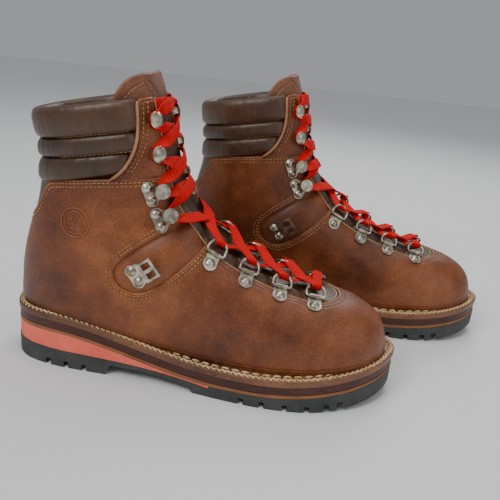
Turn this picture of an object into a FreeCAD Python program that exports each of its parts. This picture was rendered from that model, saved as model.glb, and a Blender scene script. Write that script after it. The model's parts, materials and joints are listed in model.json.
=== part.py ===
import FreeCAD, Part
import math
import os

from FreeCAD import Matrix, Rotation, Vector

# A pair of lace-up mountaineering boots, millimetres, toes toward +X, +Z up.
# Each boot is drawn in its own frame: heel at x = 0, lateral side of the right
# boot at -Y, tread at z = 0. The left boot is the mirrored right boot, moved.

# ---- driving dimensions -------------------------------------------------
leatherThick = 2.4
liningThick = 3.4
layerGap = 0.1
tongueThick = 6.0
weltRise = 5.0
midsoleRise = 7.0
lightRise = 2.5
lugDepth = 5.0
wedgeEnd = 163.0
tubeRadius = 1.5
wireRadius = 1.0
barFit = 0.06
ringTurn = 5.0
shaftSlope = 0.2
shaftGap = 21.0
vampGap = 24.0
leftShift = Vector(96.0, 151.0, 0.0)
leftTurn = -4.5
pairShift = Vector(-197.81, -67.38, 0.0)

# One row per section plane of the boot's form, from the toe to the shaft top:
# base x, base z, ridge x, ridge z, half width, base half width, widest level,
# ridge roundness, base roundness, centre offset at base, centre offset at ridge
sections = [
    (230.0, 22.0, 292.5, 22.0, 44.5, 44.0, 0.06, 2.05, 2.0, -4.0, -2.0),
    (229.8, 20.8, 292.0, 40.5, 44.5, 44.0, 0.10, 2.1, 2.0, -4.0, -2.0),
    (229.2, 19.6, 285.0, 58.0, 44.5, 44.0, 0.18, 2.15, 2.0, -4.0, -2.0),
    (228.2, 18.7, 268.0, 69.0, 45.0, 44.0, 0.27, 2.25, 2.0, -4.2, -1.5),
    (227.0, 18.2, 246.0, 74.5, 45.5, 44.2, 0.36, 2.35, 2.0, -4.5, -1.0),
    (224.0, 18.0, 226.0, 77.5, 46.0, 44.0, 0.42, 2.4, 2.0, -4.5, 0.0),
    (201.0, 17.0, 205.0, 83.0, 46.0, 44.0, 0.42, 2.4, 2.0, -4.5, 0.0),
    (175.0, 17.0, 183.0, 92.0, 44.0, 40.0, 0.42, 2.4, 2.0, -4.5, 0.0),
    (147.0, 18.0, 163.0, 103.5, 42.5, 35.0, 0.44, 2.4, 2.0, -4.5, 0.0),
    (115.0, 21.0, 150.0, 115.0, 42.5, 32.0, 0.46, 2.45, 2.0, -4.0, 0.0),
    (81.0, 28.0, 142.0, 123.5, 43.0, 32.0, 0.50, 2.5, 2.0, -3.0, 0.0),
    (48.0, 33.0, 136.5, 130.0, 43.5, 31.0, 0.52, 2.5, 2.0, -2.0, 0.0),
    (22.0, 35.0, 132.5, 136.0, 43.0, 22.0, 0.54, 2.55, 2.0, -1.0, 0.0),
    (6.0, 41.0, 130.0, 140.5, 42.5, 8.0, 0.55, 2.6, 2.1, -0.5, 0.0),
    (3.5, 60.0, 127.5, 146.0, 42.0, 2.0, 0.54, 2.65, 2.1, 0.0, 0.0),
    (6.5, 84.0, 125.0, 152.0, 41.5, 2.0, 0.54, 2.7, 2.2, 0.0, 0.0),
    (12.5, 108.0, 123.0, 156.5, 41.0, 2.0, 0.54, 2.75, 2.2, 0.0, 0.0),
    (19.0, 131.0, 121.0, 161.5, 40.5, 2.0, 0.55, 2.8, 2.2, 0.0, 0.0),
    (21.5, 150.0, 118.5, 170.5, 40.5, 2.0, 0.56, 2.8, 2.2, 0.0, 0.0),
    (21.0, 170.0, 113.5, 189.0, 41.5, 2.0, 0.56, 2.8, 2.2, 0.0, 0.0),
    (18.5, 189.0, 108.5, 207.5, 42.5, 2.0, 0.56, 2.8, 2.2, 0.0, 0.0),
    (15.5, 206.0, 103.0, 223.5, 43.0, 2.0, 0.56, 2.8, 2.2, 0.0, 0.0),
    (13.0, 220.0, 99.0, 237.0, 43.0, 2.0, 0.56, 2.8, 2.2, 0.0, 0.0),
]
lastSection = len(sections) - 1

# Sole outline at the welt, right boot, counter-clockwise seen from above
outline = [
    (300, -3), (295, -18), (284, -33), (265, -47), (235, -57), (200, -58.5), (165, -54),
    (130, -48), (95, -44), (60, -42), (28, -37), (9, -26), (1, -8),
    (1, 8), (9, 25), (28, 36), (60, 38.5), (95, 36), (130, 37), (165, 42.5),
    (200, 48.5), (232, 49.5), (262, 43), (284, 29), (296, 12),
]

# Side profile levels: x, welt top
weltLine = [(-12, 43), (20, 43), (50, 42.2), (82, 36.5), (117, 28.8), (150, 24), (180, 23.2),
            (210, 24), (240, 26.8), (270, 31), (300, 36), (315, 38.5)]
wedgeFloor = [(-12, 14), (50, 14), (82, 12.8), (117, 11), (150, 8.4), (165, 6.5)]
treadLine = [(-12, 3), (4, 1.2), (14, 0), (82, 0), (85.5, 8.4), (112, 8.2), (136, 6),
             (147, 4.6), (151, 0), (232, 0), (262, 2.4), (285, 6.2), (300, 9.5), (315, 13)]


def mix(a, b, t):
    return a + (b - a) * t


def along(line, x):
    """Height of a side profile at x."""
    for (x0, z0), (x1, z1) in zip(line, line[1:]):
        if x <= x1:
            return mix(z0, z1, (x - x0) / (x1 - x0))
    return line[-1][1]


# ---- form of the foot ---------------------------------------------------
def sectionAt(s):
    """Section values at a fractional station, by a smooth cubic blend."""
    s = min(max(s, 0.0), lastSection - 1e-6)
    i = int(s)
    t = s - i
    rows = [sections[min(max(i + k, 0), lastSection)] for k in (-1, 0, 1, 2)]
    values = []
    for a, b, c, d in zip(*rows):
        slope0 = (c - a) / 2
        slope1 = (d - b) / 2
        t2 = t * t
        t3 = t2 * t
        values.append((2 * t3 - 3 * t2 + 1) * b + (t3 - 2 * t2 + t) * slope0
                      + (3 * t2 - 2 * t3) * c + (t3 - t2) * slope1)
    return values


def insetSection(row, depth):
    """The same section, drawn in by a depth on every side."""
    bx, bz, rx, rz, wide, base, level, topRound, baseRound, baseOff, topOff = row
    length = math.hypot(rx - bx, rz - bz)
    ex = (rx - bx) / length
    ez = (rz - bz) / length
    floor = depth if base < 20 else 0.0
    ridge = depth * 1.06
    return (bx + ex * floor, bz + ez * floor, rx - ex * ridge, rz - ez * ridge,
            wide - depth, max(base - depth, 1.5), level, topRound, baseRound, baseOff, topOff)


def sectionPoint(row, phi):
    """Point on a section: phi 0 at the ridge, +-90 at the widest, +-180 at the base."""
    bx, bz, rx, rz, wide, base, level, topRound, baseRound, baseOff, topOff = row
    side = 1 if phi >= 0 else -1
    a = abs(phi)
    if a <= 90:
        y = wide * math.sin(math.radians(a)) ** (2 / topRound)
        v = level + (1 - level) * max(math.cos(math.radians(a)), 0) ** (2 / topRound)
    elif a <= 160:
        b = math.radians((a - 90) / 70 * 90)
        y = base + (wide - base) * max(math.cos(b), 0) ** (2 / baseRound)
        v = level * (1 - math.sin(b) ** (2 / baseRound))
    else:
        y = base * (180 - a) / 20
        v = 0
    return Vector(mix(bx, rx, v), side * y + mix(baseOff, topOff, v), mix(bz, rz, v))


halfSteps = 15


def flank(row, side):
    """Points evenly spaced round one half of a section, from the ridge to the base."""
    dense = [sectionPoint(row, side * (angle + 0.01)) for angle in range(0, 180, 2)]
    dense.append(sectionPoint(row, side * 180.0))
    lengths = [0.0]
    for a, b in zip(dense, dense[1:]):
        lengths.append(lengths[-1] + (b - a).Length)
    points = []
    at = 0
    for step in range(halfSteps + 1):
        target = lengths[-1] * step / halfSteps
        while at < len(dense) - 2 and lengths[at + 1] < target:
            at += 1
        share = (target - lengths[at]) / (lengths[at + 1] - lengths[at])
        points.append(dense[at] + (dense[at + 1] - dense[at]) * share)
    return points


def sectionWire(row):
    right = flank(row, 1)
    left = flank(row, -1)
    points = right + left[-2:0:-1]
    count = len(points)
    curve = Part.BSplineCurve()
    curve.interpolate(Points=points, PeriodicFlag=True,
                      Parameters=[k / count for k in range(count + 1)])
    return Part.Wire([curve.toShape()])


def form(depth, first=0, last=lastSection):
    """The whole solid of the foot and shaft, drawn in by a depth."""
    wires = [sectionWire(insetSection(sectionAt(s), depth)) for s in range(first, last)]
    return Part.makeLoft(wires, True)


def locate(x, z):
    """Station and level at which the form's side passes through (x, z)."""
    def miss(s):
        bx, bz, rx, rz = sectionAt(s)[:4]
        return (x - bx) * (rz - bz) - (z - bz) * (rx - bx)
    steps = [i * 0.25 for i in range(4 * lastSection)]
    for low, high in zip(steps, steps[1:]):
        if miss(low) * miss(high) <= 0:
            bx, bz, rx, rz = sectionAt(low)[:4]
            v = ((x - bx) * (rx - bx) + (z - bz) * (rz - bz)) / ((rx - bx) ** 2 + (rz - bz) ** 2)
            if 0 <= v <= 1.5:
                for _ in range(30):
                    mid = (low + high) / 2
                    if miss(low) * miss(mid) <= 0:
                        high = mid
                    else:
                        low = mid
                return low
    raise ValueError("no section passes through %g, %g" % (x, z))


def onSide(x, z, side, depth=0.0):
    """Point of the form's side surface seen at (x, z); side -1 is -Y."""
    s = locate(x, z)
    row = insetSection(sectionAt(s), depth)
    bx, bz, rx, rz, wide, base, level, topRound, baseRound, baseOff, topOff = row
    v = ((x - bx) * (rx - bx) + (z - bz) * (rz - bz)) / ((rx - bx) ** 2 + (rz - bz) ** 2)
    if v >= level:
        u = min((v - level) / (1 - level), 1)
        y = wide * (1 - u ** topRound) ** (1 / topRound)
    else:
        u = min(max(1 - v / level, 0), 1)
        y = base + (wide - base) * (1 - u ** baseRound) ** (1 / baseRound)
    return Vector(x, side * y + mix(baseOff, topOff, v), z)


def sideNormal(x, z, side):
    p = onSide(x, z, side)
    dx = onSide(x + 1, z, side) - p
    dz = onSide(x, z + 1, side) - p
    normal = dx.cross(dz)
    normal.normalize()
    return normal if normal.y * side > 0 else normal * -1


# ---- shared solids --------------------------------------------------------
def outlineFace(inset, level):
    """Flat face of the sole's outline, drawn in by an inset."""
    count = len(outline)
    points = []
    for i, (x, y) in enumerate(outline):
        px, py = outline[i - 1]
        nx, ny = outline[(i + 1) % count]
        length = math.hypot(nx - px, ny - py)
        points.append(Vector(x + (ny - py) / length * inset, y - (nx - px) / length * inset, level))
    curve = Part.BSplineCurve()
    curve.interpolate(Points=points, PeriodicFlag=True)
    return Part.Face(Part.Wire([curve.toShape()]))


def sidePrism(points, half=95.0):
    """Prism across the boot from a closed outline of straight sides in the XZ plane."""
    corners = [Vector(x, -half, z) for x, z in points]
    return Part.Face(Part.makePolygon(corners + corners[:1])).extrude(Vector(0, 2 * half, 0))


def curvedPrism(points, half=95.0):
    """The same from a smooth closed outline."""
    curve = Part.BSplineCurve()
    curve.interpolate(Points=[Vector(x, -half, z) for x, z in points], PeriodicFlag=True)
    return Part.Face(Part.Wire([curve.toShape()])).extrude(Vector(0, 2 * half, 0))


def band(low, high, half=95.0):
    """Prism between two side profiles, each a smooth line of (x, z)."""
    edges = []
    for line in (low, high):
        curve = Part.BSplineCurve()
        curve.interpolate(Points=[Vector(x, -half, z) for x, z in line])
        edges.append(curve.toShape())
    for k in (0, -1):
        edges.append(Part.LineSegment(Vector(low[k][0], -half, low[k][1]),
                                      Vector(high[k][0], -half, high[k][1])).toShape())
    wire = Part.Wire(Part.__sortEdges__(edges))
    return Part.Face(wire).extrude(Vector(0, 2 * half, 0))


def raised(line, rise):
    return [(x, z + rise) for x, z in line]


def curvePoints(line, drop):
    """Close-set points on the smooth curve through a side profile, lowered by a drop."""
    curve = Part.BSplineCurve()
    curve.interpolate(Points=[Vector(x, 0, z) for x, z in line])
    edge = curve.toShape()
    return [(p.x, p.z - drop) for p in edge.discretize(int(edge.Length / 6))]


def soleLayer(inset, low, high):
    """One layer of the sole stack between two side profiles."""
    prism = outlineFace(inset, -10).extrude(Vector(0, 0, 90))
    return prism.common(band(low, high))


def group(shapes):
    solids = []
    for shape in shapes:
        solids += shape.Solids
    return Part.makeCompound(solids)


def localFrame(origin, inward, normal):
    """Placement matrix whose x is the inward direction and z the surface normal."""
    z = Vector(normal)
    z.normalize()
    y = z.cross(inward)
    y.normalize()
    x = y.cross(z)
    return Matrix(x.x, y.x, z.x, origin.x, x.y, y.y, z.y, origin.y,
                  x.z, y.z, z.z, origin.z, 0, 0, 0, 1)


# ---- soft parts of one boot ------------------------------------------------
def shaftLine(level, x0=-20.0, x1=150.0):
    """Slanting line across the shaft, named by its height at the heel side."""
    return [(x0, level + shaftSlope * (x0 - 22)), (x1, level + shaftSlope * (x1 - 22))]


def bodyPrism(top, lift=0.0):
    """Everything above the welt and below a slanting line across the shaft."""
    low = raised(weltLine, lift)
    high = shaftLine(top)
    corners = low + [(315, 120), (200, 150)] + [high[1], high[0]]
    return sidePrism(corners)


def shell(outer, inner, top, lift=0.0):
    """Wall between two depths of the form."""
    return form(outer).common(bodyPrism(top, lift)).cut(form(inner))


def laceGap():
    """Tool that opens the top of a wall along the lacing, wider over the forefoot."""
    corners = [(228, 55), (228, 140), (190, 250), (40, 250), (82, 130), (150, 72)]
    plan = [(40, shaftGap), (125, shaftGap), (155, vampGap), (228, vampGap)]
    plan = [Vector(x, y, 40) for x, y in plan] + [Vector(x, -y, 40) for x, y in plan[::-1]]
    slot = Part.Face(Part.makePolygon(plan + plan[:1])).extrude(Vector(0, 0, 220))
    toe = Part.makeCylinder(vampGap, 90, Vector(228, 0, 55))
    return slot.common(sidePrism(corners)).fuse(toe)


flexOutline = [(146, 133), (131, 123), (117, 114), (104, 104), (93, 95), (87, 86.5), (89, 78),
               (97, 72.5), (108, 72.5), (120, 79.5), (133, 90.5), (146, 104.5), (160, 122)]
achillesOutline = [(-30, 150), (-30, 114), (8, 113), (20, 117), (27, 127), (33, 139), (42, 144.6),
                   (42, 150)]
quarterTop = 142.8
rollLevels = [143.6, 156.8, 170.2, 190.5]
pipingLine = [(82.5, 138), (86, 153.4), (92, 180), (98, 205.7), (101, 220)]
faceTop = 191.0
wingOutline = [(80, 190), (77.5, 200), (79, 208), (84, 214.5), (91, 219.5), (98, 222), (106, 221),
               (112, 205), (112, 190), (96, 186)]
wingThick = 2.2


def facePrism(grow=0.0):
    """Everything ahead of the piped edge of the shaft facing."""
    line = [(x + grow, z) for x, z in pipingLine]
    return sidePrism(line + [(180, 240), (180, 138)])


def makeUpper():
    wall = shell(0, leatherThick, quarterTop)
    wall = wall.cut(laceGap()).cut(curvedPrism(flexOutline))
    wall = wall.cut(sidePrism(achillesOutline))
    return wall.cut(Part.makeBox(80, 200, 80, Vector(118, -100, 146)))


def makeFlexPanels():
    wall = form(0.5).common(curvedPrism([(mix(118, x, 0.985), mix(98, z, 0.98))
                                         for x, z in flexOutline]))
    return wall.cut(form(leatherThick)).cut(laceGap())


def makeAchilles():
    inside = [(-30, 148), (-30, 114.6), (7, 113.6), (19, 117.8), (26, 127.6), (32, 139.8),
              (40.6, 145), (40.6, 148)]
    wall = form(0.4).common(sidePrism(inside)).common(bodyPrism(quarterTop))
    return wall.cut(form(4.5))


def makeBackstay():
    strip = form(-1.2).common(bodyPrism(100, 0.2)).cut(form(-0.1))
    strip = strip.common(Part.makeBox(60, 19, 90, Vector(-20, -9.5, 30)))
    return strip.common(sidePrism([(-20, 36), (40, 36), (40, 112), (-20, 112)]))


def shaftRing(level, depth):
    """Section of the shaft at a slanting level named at the heel side."""
    s = 17.0
    for _ in range(40):
        s += (level - sectionAt(s)[1]) / 18.0
    return sectionWire(insetSection(sectionAt(s), depth))


def makeCollar():
    """Three padded rolls round the back of the shaft, top one the largest."""
    behind = sidePrism([(-30, 130)] + [(x - 1.3, z) for x, z in pipingLine] + [(-30, 220)])
    rolls = []
    for low, high, bulge in zip(rollLevels, rollLevels[1:], (1.6, 1.8, 2.6)):
        low += 0.15
        high -= 0.15
        depths = [(0.0, 2.0), (0.12, 0.2), (0.3, -bulge), (0.7, -bulge), (0.88, 0.2), (1.0, 2.4)]
        wires = [shaftRing(mix(low, high, t), d) for t, d in depths]
        rolls.append(Part.makeLoft(wires, True).cut(form(6.0)).common(behind))
    return group(rolls)


def makeFacings():
    plate = form(0.0).common(facePrism()).common(bodyPrism(faceTop))
    plate = plate.cut(form(leatherThick)).cut(laceGap())
    low = shaftLine(quarterTop + 0.3)
    return plate.common(sidePrism([low[0], low[1], (150, 260), (-20, 260)]))


def makePiping():
    """Round tan bead down the rear edge of each facing."""
    beads = []
    for side in (-1, 1):
        points = [onSide(mix(86.0, 98.2, t) - 0.6, mix(154.0, 205.0, t), side, -0.4)
                  for t in (0, 0.25, 0.5, 0.75, 1)]
        curve = Part.BSplineCurve()
        curve.interpolate(Points=points)
        path = Part.Wire([curve.toShape()])
        start = points[1] - points[0]
        ring = Part.Wire([Part.makeCircle(0.9, points[0], start)])
        beads.append(path.makePipeShell([ring], True, False))
    return beads


def makeTongue():
    """Padded tongue behind the lacing, standing above the collar."""
    front = sidePrism([(240, 66), (240, 140), (150, 245), (55, 245), (66, 150), (90, 110),
                       (120, 92), (160, 78)], 30)
    wall = form(4.2).common(front).cut(form(4.2 + tongueThick))
    low = Part.makeBox(340, 60, 140, Vector(0, -30, 0))
    middle = Part.makeBox(340, 54, 56, Vector(0, -27, 140))
    tip = Part.makeCylinder(27, 160, Vector(0, 0, 196), Vector(1, 0, 0))
    pieces = wall.common(low.fuse(middle).fuse(tip)).Solids
    body = max(pieces, key=lambda solid: solid.Volume)
    wings = form(6.2).common(curvedPrism(wingOutline)).cut(form(6.2 + wingThick))
    return body.fuse(wings).removeSplitter()


def makeGusset():
    """Soft leather folded between the lacing edges and the tongue."""
    front = sidePrism([(243, 60), (243, 140), (150, 175), (100, 175), (95, 150), (120, 105),
                       (160, 80)], 29)
    wall = form(leatherThick + layerGap).common(front).cut(form(3.9))
    return wall.cut(sidePrism([(236, 50), (236, 160), (60, 260), (60, 50)], 12))


def makeTongueTab():
    """Short stitched tab over the toe end of the lacing."""
    pad = form(-0.9).common(Part.makeBox(16, 22, 60, Vector(238, -11, 40)))
    pad = pad.common(Part.makeCylinder(12, 60, Vector(243, 0, 40)))
    return pad.common(bodyPrism(100)).cut(form(-0.1))


def makeLining():
    wall = shell(leatherThick + 0.7, leatherThick + 0.7 + liningThick, 188.5, 0.3)
    wall = wall.common(form(3.1))
    front = sidePrism([(244, 55), (244, 140), (150, 245), (50, 245), (60, 150), (86, 106),
                       (118, 88), (160, 72)], 34)
    collarZone = sidePrism([(-30, 110), (50, 110)] + pipingLine + [(-30, 220)])
    return wall.cut(front).cut(collarZone)


def makeInsole():
    bed = form(leatherThick + 0.7 + liningThick + 0.2)
    return bed.common(band(raised(weltLine, 0.4), raised(weltLine, 4.4)))


def makeShank():
    strip = band([(60, 36), (90, 30.3), (117, 25.3), (150, 21.2), (175, 20.4)],
                 [(60, 37.4), (90, 31.7), (117, 26.7), (150, 22.6), (175, 21.8)], 8.0)
    return strip


# ---- sole -------------------------------------------------------------------
def makeSole():
    weltLow = raised(weltLine, -weltRise)
    darkLow = raised(weltLow, -midsoleRise)
    lightLow = raised(darkLow, -lightRise)
    shank = makeShank()
    welt = soleLayer(0.0, weltLow, weltLine)
    rims = [e for e in welt.Edges if e.Length > 300]
    try:
        softened = welt.makeFillet(1.4, [max(rims, key=lambda e: e.CenterOfMass.z)])
        if softened.isValid():
            welt = softened
    except Part.OCCError:
        pass
    welt = welt.cut(shank)
    dark = soleLayer(0.9, darkLow, weltLow).cut(shank)
    light = soleLayer(0.5, lightLow, darkLow)
    heelEnd = sidePrism([(-20, -5), (wedgeEnd, -5), (wedgeEnd, 60), (-20, 60)])
    roof = [p for p in curvePoints(lightLow, layerGap / 2) if p[0] < wedgeEnd + 8]
    wedge = soleLayer(0.7, wedgeFloor, roof).common(heelEnd)
    return welt, dark, light, wedge, lightLow


def makeOutsole(lightLow):
    floor = curvePoints(wedgeFloor, layerGap)
    roof = [p for p in floor if p[0] < wedgeEnd]
    roof += [(wedgeEnd + layerGap, along(floor, wedgeEnd) - layerGap / 2)]
    front = [p for p in curvePoints(lightLow, layerGap) if p[0] > wedgeEnd + 1]
    roof += [(wedgeEnd + layerGap, front[0][1])] + front
    corners = treadLine + list(reversed(roof))
    prism = outlineFace(0.2, -10).extrude(Vector(0, 0, 90))
    block = prism.common(sidePrism(corners))
    grooves = []

    def groove(x, y, length, turn, width=4.0):
        depth = along(treadLine, x) + lugDepth
        box = Part.makeBox(width, length, depth + 6, Vector(-width / 2, 0, -6))
        box.rotate(Vector(0, 0, 0), Vector(0, 0, 1), turn)
        box.translate(Vector(x, y, 0))
        grooves.append(box)

    for x, turn in ((33, 8), (49, 4), (65, 0)):
        groove(x, 18, 40, -turn)
        groove(x, -18, 40, 180 + turn)
    groove(20, -7, 14, 0)
    groove(42, -9, 18, 0)
    for x, turn in ((170, 24), (188, 20), (208, 16), (229, 10), (249, 2), (268, -14)):
        groove(x, 13, 60, -turn)
        groove(x, -17, 60, 180 + turn)
    for x in (179, 199, 219, 240):
        groove(x, -10, 18, 12)
    for side in (-1, 1):
        for x0, y0, x1, y1 in ((18, 6, 34, 14), (34, 14, 90, 15)):
            length = math.hypot(x1 - x0, y1 - y0)
            channel = Part.makeBox(length, 3.4, lugDepth + 6, Vector(0, -1.7, -6))
            channel.rotate(Vector(0, 0, 0), Vector(0, 0, 1), math.degrees(math.atan2(y1 - y0, x1 - x0)))
            channel.translate(Vector(x0, y0, 0))
            grooves.append(channel if side > 0 else channel.mirror(Vector(0, 0, 0), Vector(0, 1, 0)))
    for y0, y1 in ((13, 13), (-17, -20)):
        for x0, x1 in ((146, 200), (200, 240), (240, 274)):
            depth = along(treadLine, (x0 + x1) / 2) + lugDepth
            grooves.append(Part.makeBox(x1 - x0, 3.4, depth + 6, Vector(x0, (y0 + y1) / 2 - 1.7, -6)))
    return block.cut(grooves)


# ---- metal ------------------------------------------------------------------
ringSpots = [(232.6, 72.0), (206.5, 77.0), (180.5, 85.0), (154.0, 96.5)]
hookPlates = [((114.0, 129.2), (118.4, 120.8)), ((107.1, 147.5), (110.5, 138.9))]
topHooks = [(110.5, 170.5), (106.5, 193.0)]
lockRivets = [(100.6, 88.2), (106.3, 80.8)]
hingeOut = 8.0
hingeUp = 1.9
ringReach = 10.5
ringLift = 12.0
headReach = 11.0


def spotFrame(x, z, side, toward=None, depth=0.0):
    """Frame on the form: x axis toward the lacing, z axis off the leather."""
    p = onSide(x, z, side, depth)
    n = sideNormal(x, z, side)
    inward = toward - p if toward else Vector(0.0, -side, 0.0)
    return localFrame(p, inward, n)


def placed(shape, matrix):
    copy = shape.copy()
    return copy.transformed(matrix)


def dome(radius, height, base):
    ball = (radius ** 2 + height ** 2) / (2 * height)
    cap = Part.makeSphere(ball, Vector(0, 0, base + height - ball))
    return cap.common(Part.makeCylinder(radius, height + 1, Vector(0, 0, base)))


def ringFrame(x, z, side):
    """Frame of one D-ring clip, turned so that its bar follows the lacing edge."""
    return spotFrame(x, z, side, Vector(x, 0, z + 9.0))


def clipShape():
    plate = Part.makeCylinder(5.4, 0.9, Vector(0, 0, 0.1))
    plate = plate.fuse(Part.makeBox(hingeOut, 10, 0.9, Vector(0, -5, 0.1)))
    barrel = Part.makeCylinder(hingeUp - 0.1, 8.4, Vector(hingeOut, -4.2, hingeUp), Vector(0, 1, 0))
    bore = Part.makeCylinder(wireRadius + barFit, 12, Vector(hingeOut, -6, hingeUp), Vector(0, 1, 0))
    trimmed = plate.fuse(barrel).cut(bore)
    return trimmed.cut(Part.makeCylinder(1.5, 3, Vector(0, 0, -0.5)))


def ringShape():
    """D of round wire about its straight bar; bar along y at x = 0."""
    half = 7.0
    bend = 2.0
    flat = ringReach - half
    q = bend * (1 - math.sqrt(0.5))
    corners = [
        Part.LineSegment(Vector(0, -half + bend, 0), Vector(0, half - bend, 0)),
        Part.Arc(Vector(0, half - bend, 0), Vector(q, half - q, 0), Vector(bend, half, 0)),
        Part.LineSegment(Vector(bend, half, 0), Vector(flat, half, 0)),
        Part.Arc(Vector(flat, half, 0), Vector(ringReach, 0, 0), Vector(flat, -half, 0)),
        Part.LineSegment(Vector(flat, -half, 0), Vector(bend, -half, 0)),
        Part.Arc(Vector(bend, -half, 0), Vector(q, -half + q, 0), Vector(0, -half + bend, 0)),
    ]
    path = Part.Wire([c.toShape() for c in corners])
    circle = Part.Wire([Part.makeCircle(wireRadius, Vector(0, 0, 0), Vector(0, 1, 0))])
    ring = path.makePipeShell([circle], True, False)
    ring.rotate(Vector(0, 0, 0), Vector(0, 1, 0), -ringLift)
    ring.translate(Vector(hingeOut, 0, hingeUp))
    return ring


def hull2(circles, low, high):
    """Flat plate round a row of circles (x, y, r), joined by boxes."""
    plate = None
    for x, y, r in circles:
        disc = Part.makeCylinder(r, high - low, Vector(x, y, low))
        plate = disc if plate is None else plate.fuse(disc)
    for (x0, y0, r0), (x1, y1, r1) in zip(circles, circles[1:] + circles[:1]):
        length = math.hypot(x1 - x0, y1 - y0)
        if length < 0.1:
            continue
        w = min(r0, r1) * 0.9
        bar = Part.makeBox(length, 2 * w, high - low, Vector(0, -w, low))
        bar.rotate(Vector(0, 0, 0), Vector(0, 0, 1), math.degrees(math.atan2(y1 - y0, x1 - x0)))
        bar.translate(Vector(x0, y0, 0))
        plate = plate.fuse(bar)
    return plate


def openHook(reach):
    """Stem and folded head of a speed hook, with its mouth away from the lacing."""
    stem = Part.makeBox(2.0, 5.0, 6.2, Vector(reach - 1.0, -2.5, 0.3))
    head = Part.makeCylinder(5.4, 1.6, Vector(reach - 3.0, 0, 6.2))
    head = head.fuse(Part.makeBox(4.4, 8.4, 1.6, Vector(reach - 3.4, -4.2, 6.2)))
    return stem.fuse(head)


def plateHook(pair, side):
    """Hook with a three-lobed plate held by two rivets."""
    (x0, z0), (x1, z1) = pair
    middle = ((x0 + x1) / 2, (z0 + z1) / 2)
    a = onSide(x0, z0, side)
    b = onSide(x1, z1, side)
    p = (a + b) * 0.5
    n = sideNormal(middle[0], middle[1], side)
    bar = a - b
    inward = bar.cross(n) * (1 if side > 0 else -1)
    if inward.y * side > 0:
        inward = inward * -1
    matrix = localFrame(p + n * 0.3, inward, n)
    gap = bar.Length / 2
    plate = hull2([(0, -gap, 4.4), (0, gap, 4.4), (headReach - 1.5, 0, 3.8)], 0.1, 1.1)
    hook = plate.fuse(openHook(headReach))
    rivets = [dome(3.7, 2.0, 1.15).translated(Vector(0, s * gap, 0)) for s in (-1, 1)]
    return matrix, hook, rivets


def studHook(spot, side):
    """Hook fixed from inside the facing, domed head only."""
    matrix = spotFrame(spot[0], spot[1], side)
    base = Part.makeCylinder(4.2, 0.8, Vector(0, 0, 0.1))
    stem = Part.makeBox(2.2, 5.0, 5.2, Vector(1.0, -2.5, 0.4))
    head = dome(5.8, 2.2, 5.4)
    return matrix, base.fuse(stem).fuse(head)


def lockHook(side):
    """Ankle lock: riveted plate with a raised frame of two slots."""
    (x0, z0), (x1, z1) = lockRivets
    a = onSide(x0, z0, side, 0.5)
    b = onSide(x1, z1, side, 0.5)
    p = (a + b) * 0.5
    n = sideNormal((x0 + x1) / 2, (z0 + z1) / 2, side)
    bar = a - b
    inward = bar.cross(n)
    if inward.x < 0:
        inward = inward * -1
    matrix = localFrame(p + n * 0.4, inward, n)
    gap = bar.Length / 2
    plate = hull2([(0, -gap, 4.6), (0, gap, 4.6), (4.5, gap - 1, 4.4), (4.5, 1 - gap, 4.4)], 0.1, 1.2)
    wall = Part.makeBox(1.4, 13.0, 6.0, Vector(7.6, -6.5, 0.2))
    frame = Part.makeBox(11.0, 15.0, 1.5, Vector(7.6, -7.5, 5.4))
    for s in (-1, 1):
        frame = frame.cut(Part.makeBox(6.6, 4.6, 4, Vector(10.0, s * 3.6 - 2.3, 4.0)))
    body = plate.fuse(wall).fuse(frame)
    rivets = [dome(3.7, 2.0, 1.25).translated(Vector(0, s * gap, 0)) for s in (-1, 1)]
    return matrix, body, rivets


# ---- lace -------------------------------------------------------------------
turnRadius = 4.2
overReach = 1.2
overRise = 0.7
lowCross = 2.6
highCross = 6.2
endHeight = 203.0
endReach = 16.0
passes = ringSpots + hookPlates + topHooks


def passPoints(index, side, upward):
    """The lace's corner points at one ring or hook, in the order it meets them."""
    if index < 4:
        x, z = passes[index]
        matrix = ringFrame(x, z, side)
        lift = math.radians(ringLift)
        far = hingeOut + ringReach * math.cos(lift)
        mid = hingeUp + ringReach * math.sin(lift)
        inner = far - turnRadius
        local = [Vector(inner, 0, mid - turnRadius), Vector(inner, 0, mid + turnRadius),
                 Vector(far + overReach, 0, mid + turnRadius + overRise)]
    else:
        if index < 6:
            matrix = plateHook(passes[index], side)[0]
            at = headReach - 1.0 - tubeRadius - 0.4
            up = 3.65
            flip = 1 if matrix.multVec(Vector(0, 1, 0)).z > matrix.multVec(Vector(0, 0, 0)).z else -1
        else:
            x, z = passes[index]
            matrix = spotFrame(x, z, side)
            at = 1.0 - tubeRadius - 0.4
            up = 3.1
            flip = -side
        local = [Vector(at, -4.6 * flip, up), Vector(at, 4.6 * flip, up)]
    points = [matrix.multVec(p) for p in local]
    if index < 4 and side > 0:
        upward = not upward
    return points if upward else points[::-1]


def ridgePoint(x, z, lift):
    """Point above the tongue's centre line, on the section through (x, z)."""
    bx, bz, rx, rz = sectionAt(locate(x, z))[:4]
    length = math.hypot(rx - bx, rz - bz)
    return Vector(rx + (rx - bx) / length * lift, 0, rz + (rz - bz) / length * lift)


def frontPoint(z, y, lift):
    """Point above the tongue at a height, a set way from its centre line."""
    side = 1 if y > 0 else -1
    low, high = 85.0, 112.0
    for _ in range(30):
        x = (low + high) / 2
        if abs(onSide(x, z, side).y) > abs(y):
            low = x
        else:
            high = x
    return onSide(low, z, side) + sideNormal(low, z, side) * lift


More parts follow.
